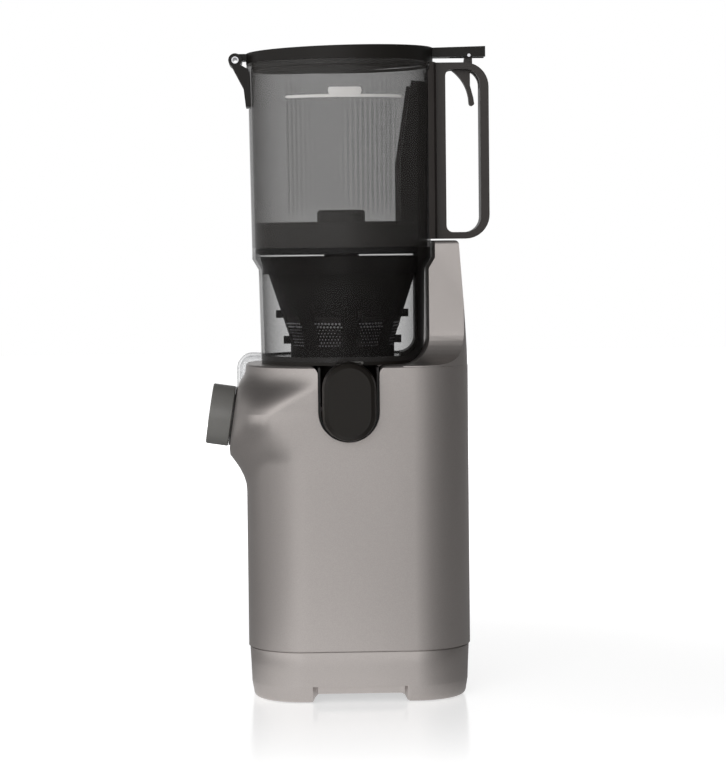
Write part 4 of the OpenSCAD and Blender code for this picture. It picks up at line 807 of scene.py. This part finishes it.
def whiteRoom():
    # white to the camera and through clear plastic; other rays see the ring, fading to the sky's level
    world = bpy.data.worlds.new("white room")
    scene.world = world
    world.use_nodes = True
    f = Finish("", world.node_tree)
    camera, transmitted = [f.add("ShaderNodeLightPath", out=n) for n in (0, 6)]
    x, y, z = f.parts(f.add("ShaderNodeTexCoord", out=0))
    bearing = f.add("ShaderNodeMath", {"operation": "ARCTAN2"}, {0: x, 1: y * -1.0}) / (2 * math.pi) + 0.5
    stops = [(turn / 360 + 0.5, grey(level)) for turn, level in studio["ring"]]
    ring = f.add("ShaderNodeValToRGB", {"stops": stops}, {0: bearing})
    sky = studio["sky"]
    room = ring * (1.0 - z.step(sky["from"], sky["to"]) * (1.0 - sky["level"]))
    direct = camera.atLeast(transmitted)
    level = direct + (1.0 - direct) * room
    f.wire(f.add("ShaderNodeBackground", None, {"Color": grey(1.0), "Strength": level}),
           "ShaderNodeOutputWorld")


floorLook = {  # metres from the middle, or towards the camera where it says near
    "half": 6.0,
    "tone": 0.86,
    "glow": {"level": 0.8, "full": (0.2, 0.9)},
    # how bright a polished side sees the floor in front of it, and the share that is left further out
    "sheen": {"level": 0.85, "far": 0.45, "near": (0.3, 1.2), "front": (-0.1, 0.1), "middle": -0.06,
              "side": (0.06, 0.22)},
    "mirror": {"level": 0.32, "rough": 0.16, "near": (0.08, 0.42), "gone": (0.25, 0.7)},
}


def whiteFloor():
    # a pale floor that glows for the camera, with a mirror image fading towards the camera and outwards
    k = floorLook
    corners = np.array([[-1.0, -1.0, 0.0], [1.0, -1.0, 0.0], [1.0, 1.0, 0.0], [-1.0, 1.0, 0.0]]) * k["half"]
    mesh = bpy.data.meshes.new("floor")
    mesh.from_pydata(corners.tolist(), [], [[0, 1, 2, 3]])
    floor = bpy.data.objects.new("floor", mesh)
    scene.collection.objects.link(floor)
    f = Finish("white floor")
    camera, glossy = [f.add("ShaderNodeLightPath", out=n) for n in (0, 3)]
    x, y = f.parts(f.where())[:2]
    near = y * -1.0
    away = (x * x + y * y) ** 0.5
    glow = 1.0 - (1.0 - away.step(*k["glow"]["full"])) * (1.0 - k["glow"]["level"])
    shine = k["sheen"]
    beside = abs(x - shine["middle"]).step(*shine["side"])
    sheen = near.step(*shine["front"]) * (1.0 - beside) * shine["level"]
    sheen = sheen * (1.0 - near.step(*shine["near"]) * (1.0 - shine["far"]))
    plain = f.add("ShaderNodeBsdfDiffuse", None, {"Color": grey(k["tone"])})
    light = f.add("ShaderNodeEmission", None, {
        "Color": grey(1.0), "Strength": camera * glow + glossy * sheen})
    lit = f.add("ShaderNodeAddShader", None, {0: plain, 1: light})
    image = k["mirror"]
    polish = f.add("ShaderNodeBsdfGlossy", None, {"Color": grey(1.0), "Roughness": image["rough"]})
    share = (1.0 - near.step(*image["near"])) * (1.0 - away.step(*image["gone"])) * camera * image["level"]
    f.wire(f.add("ShaderNodeMixShader", None, {0: share, 1: lit, 2: polish}), "ShaderNodeOutputMaterial")
    mesh.materials.append(f.material)


placeLamp("key light", studio["key"])
placeLamp("back light", studio["back"])
whiteRoom()
whiteFloor()
print("studio lit")
